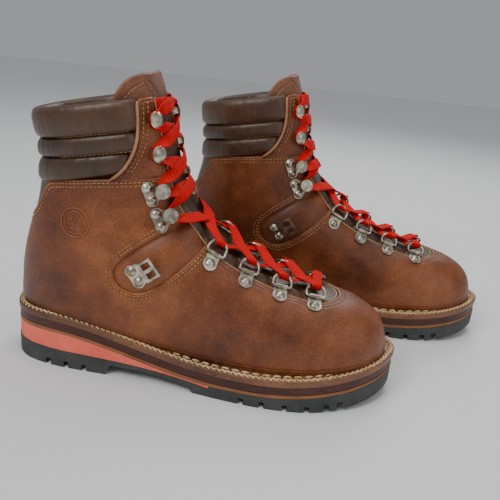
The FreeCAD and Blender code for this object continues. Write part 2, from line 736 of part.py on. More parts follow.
def laceRoute():
    """Corners of the whole lace, from one end at the top to the other."""
    down = [passPoints(index, -1 if index % 2 else 1, False) for index in range(7, -1, -1)]
    up = [passPoints(index, 1 if index % 2 else -1, True) for index in range(8)]
    route = [frontPoint(endHeight, endReach, highCross)]
    for number, turn in enumerate(down):
        side = 1 if number % 2 else -1
        route.append(crossing(route[-1], turn[0], lowCross if side > 0 else highCross))
        route += turn
    for number, turn in enumerate(up):
        if number:
            route.append(crossing(route[-1], turn[0], highCross if number % 2 else lowCross))
        route += turn
    last = frontPoint(endHeight, -endReach, lowCross)
    return route + [crossing(route[-1], last, lowCross), last]


def crossing(a, b, lift):
    """Where a strand from a to b passes over the tongue's centre line."""
    middle = (a + b) * 0.5
    return ridgePoint(middle.x, middle.z, lift)


def roundedPath(points, wanted):
    """Straight runs joined by tangent arcs."""
    edges = []
    radii = []
    start = points[0]
    for a, b, c in zip(points, points[1:], points[2:]):
        u = a - b
        w = c - b
        shorter = min(u.Length, w.Length)
        u.normalize()
        w.normalize()
        half = u.getAngle(w) / 2
        radius = min(wanted, 0.45 * shorter * math.tan(half))
        reach = radius / math.tan(half)
        if reach < 0.02:
            continue
        one = b + u * reach
        two = b + w * reach
        bisector = u + w
        bisector.normalize()
        centre = b + bisector * (radius / math.sin(half))
        edges.append(Part.LineSegment(start, one).toShape())
        edges.append(Part.Arc(one, centre - bisector * radius, two).toShape())
        radii.append(radius)
        start = two
    edges.append(Part.LineSegment(start, points[-1]).toShape())
    return Part.Wire(edges), radii


def laceTube(radius):
    """The held lace as a round cord of the given radius, with its path and arcs."""
    route = laceRoute()
    path, radii = roundedPath(route, 12.0)
    ring = Part.Wire([Part.makeCircle(radius, route[0], route[1] - route[0])])
    return path.makePipeShell([ring], True, False), path, radii


def makeLace():
    tube, path, radii = laceTube(tubeRadius)
    ideal = math.pi * tubeRadius ** 2 * path.Length
    print("lace length %.0f mm, tightest arc %.1f mm, volume %.3f of ideal"
          % (path.Length, min(radii), tube.Volume / ideal))
    return tube


# ---- whole boots --------------------------------------------------------------
def makeMetal():
    """Clips, hooks, lock hooks and rivets of both sides, and the loose rings."""
    clips, hooks, locks, rivets, rings = [], [], [], [], []
    for side in (-1, 1):
        for x, z in ringSpots:
            matrix = ringFrame(x, z, side)
            clips.append(placed(clipShape(), matrix))
            rivets.append(placed(dome(3.8, 2.2, 1.05), matrix))
            rings.append(placed(ringShape(), matrix))
        for pair in hookPlates:
            matrix, hook, heads = plateHook(pair, side)
            hooks.append(placed(hook, matrix))
            rivets += [placed(head, matrix) for head in heads]
        for spot in topHooks:
            matrix, hook = studHook(spot, side)
            hooks.append(placed(hook, matrix))
        matrix, body, heads = lockHook(side)
        locks.append(placed(body, matrix))
        rivets += [placed(head, matrix) for head in heads]
    return group(clips), group(hooks), group(locks), group(rivets), rings


# each node that is trimmed, with the nodes that it is fitted round; groove is the lace's way
seats = [
    ("upper", ["ring_clips", "lace_hooks", "lock_hooks", "groove"]),
    ("flex_panels", ["lock_hooks", "lace_hooks", "groove"]),
    ("facings", ["upper", "lace_hooks", "groove"]),
    ("collar", ["facings", "groove"]),
    ("gusset", ["groove"]),
    ("tongue_tab", ["groove"]),
    ("lace_hooks", ["groove"]),
    ("welt", ["upper", "lining"]),
]


def makeBoot():
    """Every node of one boot by name, in the right boot's own frame."""
    welt, dark, light, wedge, lightLow = makeSole()
    clips, hooks, locks, rivets, rings = makeMetal()
    nodes = {
        "outsole": makeOutsole(lightLow),
        "wedge": wedge,
        "light_midsole": light,
        "dark_midsole": dark,
        "welt": welt,
        "shank": makeShank(),
        "insole": makeInsole(),
        "lining": makeLining(),
        "upper": makeUpper(),
        "flex_panels": makeFlexPanels(),
        "backstay": makeBackstay(),
        "achilles_panel": makeAchilles(),
        "collar": makeCollar(),
        "facings": group([makeFacings()] + makePiping()),
        "gusset": makeGusset(),
        "tongue": makeTongue(),
        "tongue_tab": makeTongueTab(),
        "ring_clips": clips,
        "lace_hooks": hooks,
        "lock_hooks": locks,
        "rivets": rivets,
        "lace": makeLace(),
    }
    nodes["groove"] = laceTube(tubeRadius + layerGap)[0]
    for name, tools in seats:
        for tool in tools:
            nodes[name] = nodes[name].cut(nodes[tool])
        solids = [solid for solid in nodes[name].Solids if solid.Volume > 2.0]
        nodes[name] = solids[0] if len(solids) == 1 else group(solids)
    del nodes["groove"]
    for number, ring in enumerate(rings):
        row = number % 4 + 1
        flank = "outer" if number < 4 else "inner"
        nodes["%s_ring_%d" % (flank, row)] = ring
    return nodes


def toRight(shape):
    moved = shape.copy()
    moved.translate(pairShift)
    return moved


def toLeft(shape):
    moved = shape.mirror(Vector(0, 0, 0), Vector(0, 1, 0))
    moved.rotate(Vector(0, 0, 0), Vector(0, 0, 1), leftTurn)
    moved.translate(leftShift + pairShift)
    return moved


def main():
    os.makedirs("parts", exist_ok=True)
    for name, shape in makeBoot().items():
        for boot, place in (("right", toRight), ("left", toLeft)):
            placedShape = place(shape)
            placedShape.exportStep("parts/%s_%s.step" % (boot, name))
            box = placedShape.BoundBox
            print("%s_%s solids %d valid %s volume %.2f cm3 z %.1f to %.1f" % (
                boot, name, len(placedShape.Solids), placedShape.isValid(),
                placedShape.Volume / 1000, box.ZMin, box.ZMax))


main()
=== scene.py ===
import json
import math

import bmesh
import bpy
import numpy as np
from mathutils import Matrix, Vector, noise

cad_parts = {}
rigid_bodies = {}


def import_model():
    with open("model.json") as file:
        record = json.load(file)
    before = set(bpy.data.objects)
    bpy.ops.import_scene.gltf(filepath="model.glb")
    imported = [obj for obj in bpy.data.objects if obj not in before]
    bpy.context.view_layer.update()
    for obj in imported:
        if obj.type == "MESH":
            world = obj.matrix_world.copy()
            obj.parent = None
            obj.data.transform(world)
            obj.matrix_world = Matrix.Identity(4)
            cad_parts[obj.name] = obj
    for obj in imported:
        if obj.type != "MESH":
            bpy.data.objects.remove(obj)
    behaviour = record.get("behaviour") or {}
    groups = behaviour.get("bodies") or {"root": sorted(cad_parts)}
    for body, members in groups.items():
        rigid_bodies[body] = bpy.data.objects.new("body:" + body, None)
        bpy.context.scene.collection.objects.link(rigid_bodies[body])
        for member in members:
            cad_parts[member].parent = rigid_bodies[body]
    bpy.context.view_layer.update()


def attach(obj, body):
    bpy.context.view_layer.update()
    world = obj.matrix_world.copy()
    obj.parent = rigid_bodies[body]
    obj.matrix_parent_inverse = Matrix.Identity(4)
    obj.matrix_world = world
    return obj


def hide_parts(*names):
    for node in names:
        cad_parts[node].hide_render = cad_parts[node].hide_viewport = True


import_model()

# Both boots share one form, in millimetres: heel at x = 0, toe toward +X, the
# right boot's outer side at -Y. The left boot is mirrored, turned and moved.
pairShift = np.array((-197.81, -67.38, 0.0))
leftShift = np.array((96.0, 151.0, 0.0))
leftTurn = math.radians(-4.5)
toMetres = 0.001

# base x, base z, ridge x, ridge z, half width, base half width, widest level,
# ridge roundness, base roundness, centre offset at base, centre offset at ridge
sections = np.array([
    (230.0, 22.0, 292.5, 22.0, 44.5, 44.0, 0.06, 2.05, 2.0, -4.0, -2.0),
    (229.8, 20.8, 292.0, 40.5, 44.5, 44.0, 0.10, 2.1, 2.0, -4.0, -2.0),
    (229.2, 19.6, 285.0, 58.0, 44.5, 44.0, 0.18, 2.15, 2.0, -4.0, -2.0),
    (228.2, 18.7, 268.0, 69.0, 45.0, 44.0, 0.27, 2.25, 2.0, -4.2, -1.5),
    (227.0, 18.2, 246.0, 74.5, 45.5, 44.2, 0.36, 2.35, 2.0, -4.5, -1.0),
    (224.0, 18.0, 226.0, 77.5, 46.0, 44.0, 0.42, 2.4, 2.0, -4.5, 0.0),
    (201.0, 17.0, 205.0, 83.0, 46.0, 44.0, 0.42, 2.4, 2.0, -4.5, 0.0),
    (175.0, 17.0, 183.0, 92.0, 44.0, 40.0, 0.42, 2.4, 2.0, -4.5, 0.0),
    (147.0, 18.0, 163.0, 103.5, 42.5, 35.0, 0.44, 2.4, 2.0, -4.5, 0.0),
    (115.0, 21.0, 150.0, 115.0, 42.5, 32.0, 0.46, 2.45, 2.0, -4.0, 0.0),
    (81.0, 28.0, 142.0, 123.5, 43.0, 32.0, 0.50, 2.5, 2.0, -3.0, 0.0),
    (48.0, 33.0, 136.5, 130.0, 43.5, 31.0, 0.52, 2.5, 2.0, -2.0, 0.0),
    (22.0, 35.0, 132.5, 136.0, 43.0, 22.0, 0.54, 2.55, 2.0, -1.0, 0.0),
    (6.0, 41.0, 130.0, 140.5, 42.5, 8.0, 0.55, 2.6, 2.1, -0.5, 0.0),
    (3.5, 60.0, 127.5, 146.0, 42.0, 2.0, 0.54, 2.65, 2.1, 0.0, 0.0),
    (6.5, 84.0, 125.0, 152.0, 41.5, 2.0, 0.54, 2.7, 2.2, 0.0, 0.0),
    (12.5, 108.0, 123.0, 156.5, 41.0, 2.0, 0.54, 2.75, 2.2, 0.0, 0.0),
    (19.0, 131.0, 121.0, 161.5, 40.5, 2.0, 0.55, 2.8, 2.2, 0.0, 0.0),
    (21.5, 150.0, 118.5, 170.5, 40.5, 2.0, 0.56, 2.8, 2.2, 0.0, 0.0),
    (21.0, 170.0, 113.5, 189.0, 41.5, 2.0, 0.56, 2.8, 2.2, 0.0, 0.0),
    (18.5, 189.0, 108.5, 207.5, 42.5, 2.0, 0.56, 2.8, 2.2, 0.0, 0.0),
    (15.5, 206.0, 103.0, 223.5, 43.0, 2.0, 0.56, 2.8, 2.2, 0.0, 0.0),
    (13.0, 220.0, 99.0, 237.0, 43.0, 2.0, 0.56, 2.8, 2.2, 0.0, 0.0),
])
lastSection = len(sections) - 1

outline = np.array([
    (300, -3), (295, -18), (284, -33), (265, -47), (235, -57), (200, -58.5), (165, -54),
    (130, -48), (95, -44), (60, -42), (28, -37), (9, -26), (1, -8),
    (1, 8), (9, 25), (28, 36), (60, 38.5), (95, 36), (130, 37), (165, 42.5),
    (200, 48.5), (232, 49.5), (262, 43), (284, 29), (296, 12),
], float)
weltLine = [(-12, 43), (20, 43), (50, 42.2), (82, 36.5), (117, 28.8), (150, 24), (180, 23.2),
            (210, 24), (240, 26.8), (270, 31), (300, 36), (315, 38.5)]


# Length along a line of points, and values read off it.
def runLength(points):
    return np.concatenate(([0], np.cumsum(np.linalg.norm(np.diff(points, axis=0), axis=1))))


def readAt(at, run, values):
    return np.stack([np.interp(at, run, column) for column in values.T], 1)
# Section values at a fractional station.
def sectionAt(s):
    s = min(max(s, 0.0), lastSection - 1e-6)
    i = int(s)
    t = s - i
    a, b, c, d = [sections[min(max(i + k, 0), lastSection)] for k in (-1, 0, 1, 2)]
    t2, t3 = t * t, t * t * t
    return ((2 * t3 - 3 * t2 + 1) * b + (t3 - 2 * t2 + t) * (c - a) / 2
            + (3 * t2 - 2 * t3) * c + (t3 - t2) * (d - b) / 2)


def insetSection(row, depth):
    bx, bz, rx, rz, wide, base = row[:6]
    length = math.hypot(rx - bx, rz - bz)
    ex, ez = (rx - bx) / length, (rz - bz) / length
    floor = depth if base < 20 else 0.0
    ridge = depth * 1.06
    head = [bx + ex * floor, bz + ez * floor, rx - ex * ridge, rz - ez * ridge,
            wide - depth, max(base - depth, 1.5)]
    return np.array(head + list(row[6:]))


# Evenly spaced points round one half of a section, from the ridge to the base.
def flank(row, side, steps):
    bx, bz, rx, rz, wide, base, level, topRound, baseRound, baseOff, topOff = row
    upper = np.radians(np.linspace(0, 90, 46))
    y1 = wide * np.sin(upper) ** (2 / topRound)
    v1 = level + (1 - level) * np.cos(upper).clip(0) ** (2 / topRound)
    lower = np.radians(np.linspace(0, 90, 40)[1:])
    y2 = base + (wide - base) * np.cos(lower).clip(0) ** (2 / baseRound)
    v2 = level * (1 - np.sin(lower) ** (2 / baseRound))
    y = np.concatenate((y1, y2, [0.0]))
    v = np.concatenate((v1, v2, [0.0]))
    points = np.stack((bx + (rx - bx) * v, side * y + baseOff + (topOff - baseOff) * v,
                       bz + (rz - bz) * v), 1)
    run = runLength(points)
    return readAt(np.linspace(0, run[-1], steps + 1), run, points)


# Closed ring of the form at a station: ridge, +Y side, base, -Y side.
def ringPoints(s, depth, steps):
    row = insetSection(sectionAt(s), depth)
    right = flank(row, 1, steps)
    left = flank(row, -1, steps)
    return np.concatenate((right, left[-2:0:-1]))


def shareUp(row, x, z):
    bx, bz, rx, rz = row[:4]
    return ((x - bx) * (rx - bx) + (z - bz) * (rz - bz)) / ((rx - bx) ** 2 + (rz - bz) ** 2)


# Station whose section plane passes through (x, z) on the side of the form.
def locate(x, z):
    def miss(s):
        bx, bz, rx, rz = sectionAt(s)[:4]
        return (x - bx) * (rz - bz) - (z - bz) * (rx - bx)
    for step in range(4 * lastSection):
        low, high = step * 0.25, step * 0.25 + 0.25
        if miss(low) * miss(high) <= 0:
            if 0 <= shareUp(sectionAt(low), x, z) <= 1.5:
                for _ in range(25):
                    mid = (low + high) / 2
                    if miss(low) * miss(mid) <= 0:
                        high = mid
                    else:
                        low = mid
                return low
    raise ValueError("no section passes through %g, %g" % (x, z))


# Point of the form's side surface at (x, z); side -1 is -Y.
def onSide(x, z, side, depth=0.0):
    row = insetSection(sectionAt(locate(x, z)), depth)
    wide, base, level, topRound, baseRound, baseOff, topOff = row[4:]
    v = shareUp(row, x, z)
    if v >= level:
        u = min((v - level) / (1 - level), 1)
        y = wide * (1 - u ** topRound) ** (1 / topRound)
    else:
        u = min(max(1 - v / level, 0), 1)
        y = base + (wide - base) * (1 - u ** baseRound) ** (1 / baseRound)
    return Vector((x, side * y + baseOff + (topOff - baseOff) * v, z))


def sideNormal(x, z, side):
    p = onSide(x, z, side)
    normal = (onSide(x + 1, z, side) - p).cross(onSide(x, z + 1, side) - p).normalized()
    return normal if normal.y * side > 0 else -normal


def weltTop(x):
    line = np.array(weltLine)
    return np.interp(x, line[:, 0], line[:, 1])


# Placing pieces of both boots
# Boot millimetres to the frame's metres.
def placePoints(points, boot):
    points = np.array(points, float).reshape(-1, 3)
    if boot == "left":
        points = points * (1, -1, 1)
        c, s = math.cos(leftTurn), math.sin(leftTurn)
        points = points @ np.array(((c, s, 0), (-s, c, 0), (0, 0, 1))) + leftShift
    return (points + pairShift) * toMetres


# Writes the mesh for the right boot, mirrors it to the left, and lets both ride.
def finishPiece(bm, name, look, nodes=(), wall=None):
    made = []
    for boot in ("right", "left"):
        mesh = bpy.data.meshes.new("%s_%s" % (boot, name))
        bm.to_mesh(mesh)
        flat = np.empty(len(mesh.vertices) * 3)
        mesh.vertices.foreach_get("co", flat)
        mesh.vertices.foreach_set("co", placePoints(flat, boot).ravel())
        if boot == "left":
            mesh.flip_normals()
        mesh.materials.append(mats[look])
        mesh.polygons.foreach_set("use_smooth", [True] * len(mesh.polygons))
        mesh.update()
        piece = bpy.data.objects.new(mesh.name, mesh)
        bpy.context.collection.objects.link(piece)
        if wall:
            mod = piece.modifiers.new("wall", "SOLIDIFY")
            mod.thickness = wall * toMetres
            mod.offset = -1
            mod.use_even_offset = False
        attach(piece, boot + "_boot")
        if nodes:
            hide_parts(*["%s_%s" % (boot, n) for n in nodes])
        made.append(piece)
    bm.free()
    return made


# Sheets cut out of the form
# Distance of (x, z) points from a polyline.
def segmentDistance(points, line):
    best = np.full(len(points), 1e9)
    for a, b in zip(line[:-1], line[1:]):
        ab = b - a
        t = (((points - a) @ ab) / max(ab @ ab, 1e-9)).clip(0, 1)
        best = np.minimum(best, np.linalg.norm(points - a - t[:, None] * ab, axis=1))
    return best


# True where (x, z) points lie inside a closed polyline.
def insideOf(points, line):
    inside = np.zeros(len(points), bool)
    for a, b in zip(line[:-1], line[1:]):
        crosses = (a[1] > points[:, 1]) != (b[1] > points[:, 1])
        rise = b[1] - a[1] if abs(b[1] - a[1]) > 1e-9 else 1e-9
        inside ^= crosses & (points[:, 0] < (b[0] - a[0]) * (points[:, 1] - a[1]) / rise + a[0])
    return inside


# Catmull-Rom curve through the points, as a polyline.
def smoothLoop(points, closed=True, steps=8):
    p = np.array(points, float)
    n = len(p)
    out = []
    for i in range(n if closed else n - 1):
        if closed:
            a, b, c, d = p[i - 1], p[i], p[(i + 1) % n], p[(i + 2) % n]
        else:
            a, b, c, d = p[max(i - 1, 0)], p[i], p[i + 1], p[min(i + 2, n - 1)]
        for t in np.arange(steps) / steps:
            out.append(0.5 * (2 * b + (c - a) * t + (2 * a - 5 * b + 4 * c - d) * t * t
                              + (3 * b - a - 3 * c + d) * t ** 3))
    out.append(out[0] if closed else p[-1])
    return np.array(out)


# Signed distance, positive inside a closed side-view outline.
def within(loop):
    def field(co):
        xz = co[:, (0, 2)]
        d = segmentDistance(xz, loop)
        return np.where(insideOf(xz, loop), d, -d)
    return field


# Faces between closed rings, with a cap on each end if it is capped.
def bridge(bm, rings, capped=True):
    faces = []
    for one, two in zip(rings, rings[1:]):
        for k in range(len(one)):
            j = (k + 1) % len(one)
            faces.append(bm.faces.new((one[k], one[j], two[j], two[k])))
    if capped:
        bm.faces.new(rings[0][::-1])
        bm.faces.new(rings[-1])
    return faces


flankSteps = 62
formMiddle = Vector((140, 0, 60))


# Closed rings of the form between two stations, faces outward.
def formGrid(sFrom, sTo, rows, depth):
    bm = bmesh.new()
    stations = np.linspace(sFrom, sTo, rows + 1)
    rings = [[bm.verts.new(p) for p in ringPoints(s, depth, flankSteps)] for s in stations]
    bridge(bm, rings, capped=False)
    bm.normal_update()
    probe = max(bm.faces, key=lambda f: f.calc_center_median().z)
    if probe.normal.dot(probe.calc_center_median() - formMiddle) < 0:
        bmesh.ops.reverse_faces(bm, faces=bm.faces)
    return bm


# Splits the mesh along a value of the layer.
def cutLevel(bm, layer, level, snap=0.2):
    for v in bm.verts:
        if abs(v[layer] - level) < snap:
            v[layer] = level
    crossing = [e for e in bm.edges
                if (e.verts[0][layer] - level) * (e.verts[1][layer] - level) < 0]
    for e in crossing:
        a, b = e.verts
        share = (level - a[layer]) / (b[layer] - a[layer])
        new = bmesh.utils.edge_split(e, a, share)[1]
        new[layer] = level
    on = [v for v in bm.verts if v[layer] == level]
    bmesh.ops.connect_verts(bm, verts=on)


def coords(bm):
    return np.array([v.co[:] for v in bm.verts])


# Keeps the part of the mesh where field is positive; the layer holds the distance.
def cutSheet(bm, field, rim):
    layer = bm.verts.layers.float.new("edge")
    for v, d in zip(bm.verts, field(coords(bm))):
        v[layer] = float(d)
    far = [f for f in bm.faces if max(v[layer] for v in f.verts) < -8]
    bmesh.ops.delete(bm, geom=far, context="FACES")
    for level in (0.0, rim * 0.3, rim):
        cutLevel(bm, layer, level)
    outside = [f for f in bm.faces if min(v[layer] for v in f.verts) < -1e-6]
    bmesh.ops.delete(bm, geom=outside, context="FACES")
    loose = [v for v in bm.verts if not v.link_faces]
    bmesh.ops.delete(bm, geom=loose, context="VERTS")
    bm.normal_update()
    return layer


# Rounds the sheet's edge down; lift raises the sheet, by a number or a function.
def roundRim(bm, layer, rim, drop, lift):
    if callable(lift):
        lifts = lift(coords(bm), np.array([v[layer] for v in bm.verts]))
    else:
        lifts = np.full(len(bm.verts), float(lift))
    for i, v in enumerate(bm.verts):
        d = min(max(v[layer] / rim, 0), 1)
        v.co += v.normal * (-drop * (1 - math.sqrt(1 - (1 - d) ** 2)) + lifts[i])
    bm.normal_update()


def startSheet(size, field):
    bm = formGrid(*size["span"], size["rows"], size["depth"])
    return bm, cutSheet(bm, field, size["rim"])


def finishSheet(bm, layer, size, lift, name, look, nodes=()):
    roundRim(bm, layer, size["rim"], size["drop"], lift)
    return finishPiece(bm, name, look, nodes, size["wall"])


def atPoint(field, p):
    return field(np.array([p[:]]))[0]


def rumple(co, scale):
    return np.array([noise.noise(Vector(p) * scale) for p in co])


# Polylines of (point, normal) where a field passes a level on the mesh.
def traceLevel(bm, field, level, keep):
    bm.verts.index_update()
    bm.edges.index_update()
    values = field(coords(bm)) - level
    values[values == 0] = 1e-6
    points = {}
    links = {}
    for face in bm.faces:
        hits = []
        for e in face.edges:
            a, b = e.verts
            va, vb = values[a.index], values[b.index]
            if va * vb < 0:
                t = va / (va - vb)
                points[e.index] = (a.co.lerp(b.co, t), a.normal.lerp(b.normal, t).normalized())
                hits.append(e.index)
        if len(hits) == 2 and all(keep(points[h][0]) for h in hits):
            links.setdefault(hits[0], []).append(hits[1])
            links.setdefault(hits[1], []).append(hits[0])
    lines = []
    seen = set()
    starts = [k for k, v in links.items() if len(v) == 1] + list(links)
    for start in starts:
        if start in seen:
            continue
        chain = [start]
        seen.add(start)
        while True:
            onward = [k for k in links[chain[-1]] if k not in seen]
            if not onward:
                break
            chain.append(onward[0])
            seen.add(onward[0])
        if len(chain) > 3:
            lines.append([points[k] for k in chain])
    return lines


# Thread
# Evenly spaced points, directions and normals along a traced line.
def walk(line, pitch):
    p = np.array([q[0][:] for q in line])
    n = np.array([q[1][:] for q in line])
    run = runLength(p)
    count = max(int(run[-1] / pitch), 1)
    at = (np.arange(count) + 0.5) * run[-1] / count
    along = readAt(at + pitch * 0.4, run, p) - readAt(at - pitch * 0.4, run, p)
    return readAt(at, run, p), along, readAt(at, run, n)


threadSides = 6
threadRings = ((-0.5, 0.35, -0.55), (-0.36, 0.85, 0.05), (0.0, 1.0, 0.35), (0.36, 0.85, 0.05),
               (0.5, 0.35, -0.55))


# One small sunken capsule of thread for each stitch along the lines.
def addStitches(bm, lines, pitch, radius, fill=0.78, slant=0.0):
    for line in lines:
        mid, along, nor = walk(line, pitch)
        for m, a, n in zip(mid, along, nor):
            t = Vector(a).normalized()
            up = Vector(n).normalized()
            side = up.cross(t).normalized()
            if slant:
                t = (t + side * slant).normalized()
                side = up.cross(t).normalized()
            rings = []
            for at, swell, rise in threadRings:
                centre = Vector(m) + t * (at * pitch * fill) + up * (rise * radius)
                ring = []
                for k in range(threadSides):
                    w = 2 * math.pi * k / threadSides
                    ring.append(bm.verts.new(centre + (side * math.cos(w) + up * math.sin(w))
                                             * radius * swell))
                rings.append(ring)
            for one, two in zip(rings, rings[1:]):
                for k in range(threadSides):
                    j = (k + 1) % threadSides
                    bm.faces.new((one[k], two[k], two[j], one[j]))
            bm.faces.new(rings[0])
            bm.faces.new(rings[-1][::-1])
    return bm


def sew(name, look, lines, pitch, radius):
    finishPiece(addStitches(bmesh.new(), lines, pitch, radius), name, look)


# Materials
# Makes a node; names with an underscore first are attributes, others are inputs.
def addNode(tree, kind, **inputs):
    made = tree.nodes.new(kind)
    for key, value in inputs.items():
        if key.startswith("_"):
            setattr(made, key[1:], value)
            continue
        socket = made.inputs[int(key[1:])] if key[0] == "i" and key[1:].isdigit() else made.inputs[key]
        if isinstance(value, bpy.types.NodeSocket):
            tree.links.new(value, socket)
        else:
            socket.default_value = value
    return made


def mathNode(tree, operation, a, b=0.0, c=0.0):
    return addNode(tree, "ShaderNodeMath", _operation=operation, i0=a, i1=b, i2=c).outputs[0]


def mixColour(tree, share, a, b):
    made = addNode(tree, "ShaderNodeMix", _data_type="RGBA")
    for index, value in ((0, share), (6, a), (7, b)):
        if isinstance(value, bpy.types.NodeSocket):
            tree.links.new(value, made.inputs[index])
        else:
            made.inputs[index].default_value = value
    return made.outputs[2]


def ramp(tree, value, low, high):
    return addNode(tree, "ShaderNodeMapRange", Value=value, **{"From Min": low, "From Max": high}
                   ).outputs[0]


def lean(tree, base, value, share):  # base + value * share
    return mathNode(tree, "ADD", base, mathNode(tree, "MULTIPLY", value, share))


def weigh(tree, a, aShare, b, bShare):
    return lean(tree, mathNode(tree, "MULTIPLY", a, aShare), b, bShare)


def objectPlace(tree):
    return addNode(tree, "ShaderNodeTexCoord").outputs["Object"]


def cloud(tree, place, scale, detail, roughness=0.5):
    return addNode(tree, "ShaderNodeTexNoise", Vector=place, Scale=scale, Detail=detail,
                   Roughness=roughness).outputs[0]


def setSurface(tree, bsdf, colour, rough, height, relief, depth):
    bump = addNode(tree, "ShaderNodeBump", Height=height, Strength=relief, Distance=depth)
    for label, value in (("Base Color", colour), ("Roughness", rough), ("Normal", bump.outputs[0])):
        if isinstance(value, float):
            bsdf.inputs[label].default_value = value
        else:
            tree.links.new(value, bsdf.inputs[label])


def newGroup(name, inputs, outputs):
    group = bpy.data.node_groups.new(name, "ShaderNodeTree")
    for label, kind, value in inputs:
        socket = group.interface.new_socket(label, in_out="INPUT", socket_type=kind)
        if value is not None:
            socket.default_value = value
    for label, kind in outputs:
        group.interface.new_socket(label, in_out="OUTPUT", socket_type=kind)
    return group, group.nodes.new("NodeGroupInput").outputs, group.nodes.new("NodeGroupOutput").inputs


# Pull-up leather: mottled colour, pores, a worn edge and the groove under stitches, with painted shade
# darkening that groove.
def makeLeatherGroup():
    f, c = "NodeSocketFloat", "NodeSocketColor"
    group, given, result = newGroup("leatherSkin", [
        ("Dark", c, (0.05, 0.02, 0.01, 1)), ("Mid", c, (0.2, 0.07, 0.03, 1)),
        ("Light", c, (0.35, 0.15, 0.08, 1)), ("Pore Size", f, 900.0), ("Relief", f, 0.25),
        ("Edge", f, 5.0), ("Groove One", f, 2.6), ("Groove Two", f, 5.0), ("Groove Depth", f, 1.0)],
        [("Colour", c), ("Roughness", f), ("Normal", "NodeSocketVector")])
    place = objectPlace(group)
    patch = cloud(group, place, 75.0, 4.0, 0.6)
    fine = cloud(group, place, given["Pore Size"], 3.0, 0.65)
    cells = addNode(group, "ShaderNodeTexVoronoi", Vector=place, Scale=given["Pore Size"]).outputs[0]
    blend = weigh(group, cloud(group, place, 16.0, 3.0), 0.55, patch, 0.3)
    blend = lean(group, blend, fine, 0.45)
    colour = mixColour(group, ramp(group, blend, 0.48, 0.66), given["Dark"], given["Mid"])
    colour = mixColour(group, ramp(group, blend, 0.66, 0.88), colour, given["Light"])

    def groove(at):
        away = mathNode(group, "ABSOLUTE", mathNode(group, "SUBTRACT", given["Edge"], at))
        return mathNode(group, "SUBTRACT", 1.0, ramp(group, away, 0.15, 0.8))

    grooves = mathNode(group, "MAXIMUM", groove(given["Groove One"]), groove(given["Groove Two"]))
    grooves = mathNode(group, "MULTIPLY", grooves, given["Groove Depth"])
    worn = mathNode(group, "SUBTRACT", 1.0, ramp(group, given["Edge"], 0.25, 1.1))
    # Painted shade: the colour is darkened toward Dark inside the stitch grooves.
    colour = mixColour(group, mathNode(group, "MULTIPLY", grooves, 0.45), colour, given["Dark"])
    colour = mixColour(group, mathNode(group, "MULTIPLY", worn, 0.55), colour, given["Light"])
    height = lean(group, weigh(group, cells, 0.5, fine, 0.7), patch, 1.2)
    height = lean(group, height, grooves, -2.2)
    bump = addNode(group, "ShaderNodeBump", Height=height, Strength=given["Relief"], Distance=0.0006)
    group.links.new(colour, result["Colour"])
    group.links.new(lean(group, 0.30, patch, 0.28), result["Roughness"])
    group.links.new(bump.outputs[0], result["Normal"])
    return group


leatherGroup = makeLeatherGroup()


def startMaterial(name):
    material = bpy.data.materials.new(name)
    material.use_nodes = True
    tree = material.node_tree
    return material, tree, tree.nodes["Principled BSDF"]


def rgb(r, g, b):
    return (r, g, b, 1.0)


# Leather whose piece carries its own distance from the cut edge.
def leather(name, dark, mid, light, pore=900.0, relief=0.3, grooves=0.0, coat=0.08, edge="edge",
            one=2.6, two=5.0):
    material, tree, bsdf = startMaterial(name)
    skin = addNode(tree, "ShaderNodeGroup", _node_tree=leatherGroup)
    for key, value in (("Dark", dark), ("Mid", mid), ("Light", light), ("Pore Size", pore),
                       ("Relief", relief), ("Groove Depth", grooves), ("Groove One", one),
                       ("Groove Two", two)):
        skin.inputs[key].default_value = value
    if edge:
        source = addNode(tree, "ShaderNodeAttribute", _attribute_name=edge)
        tree.links.new(source.outputs["Fac"], skin.inputs["Edge"])
    for given, taken in (("Colour", "Base Color"), ("Roughness", "Roughness"), ("Normal", "Normal")):
        tree.links.new(skin.outputs[given], bsdf.inputs[taken])
    bsdf.inputs["Coat Weight"].default_value = coat
    bsdf.inputs["Coat Roughness"].default_value = 0.35
    return material


# Antiqued nickel: dark in patches, brighter where it is rubbed.
def metal(name, base, dark, rough):
    material, tree, bsdf = startMaterial(name)
    place = objectPlace(tree)
    fine = cloud(tree, place, 1400.0, 2.0)
    colour = mixColour(tree, ramp(tree, cloud(tree, place, 220.0, 4.0), 0.38, 0.62), dark, base)
    setSurface(tree, bsdf, colour, lean(tree, rough, fine, 0.16), fine, 0.12, 0.0003)
    bsdf.inputs["Metallic"].default_value = 1.0
    return material


# Moulded rubber or a cut layer edge, with dust and a fine grain.
def rubber(name, dark, light, rough, relief=0.25, streak=(1, 1, 1)):
    material, tree, bsdf = startMaterial(name)
    spot = addNode(tree, "ShaderNodeMapping", Vector=objectPlace(tree), Scale=streak).outputs[0]
    patch = cloud(tree, spot, 60.0, 5.0, 0.65)
    both = weigh(tree, patch, 0.65, cloud(tree, spot, 700.0, 3.0), 0.35)
    colour = mixColour(tree, ramp(tree, both, 0.36, 0.64), dark, light)
    setSurface(tree, bsdf, colour, lean(tree, rough, patch, 0.2), both, relief, 0.0005)
    return material


# Waxed thread, with a fine twist and some soil.
def threadMaterial(name, dark, light):
    material, tree, bsdf = startMaterial(name)
    place = objectPlace(tree)
    twist = cloud(tree, place, 1600.0, 1.0)
    both = weigh(tree, twist, 0.5, cloud(tree, place, 120.0, 3.0), 0.5)
    colour = mixColour(tree, ramp(tree, both, 0.38, 0.58), dark, light)
    setSurface(tree, bsdf, colour, 0.7, twist, 0.5, 0.0003)
    return material
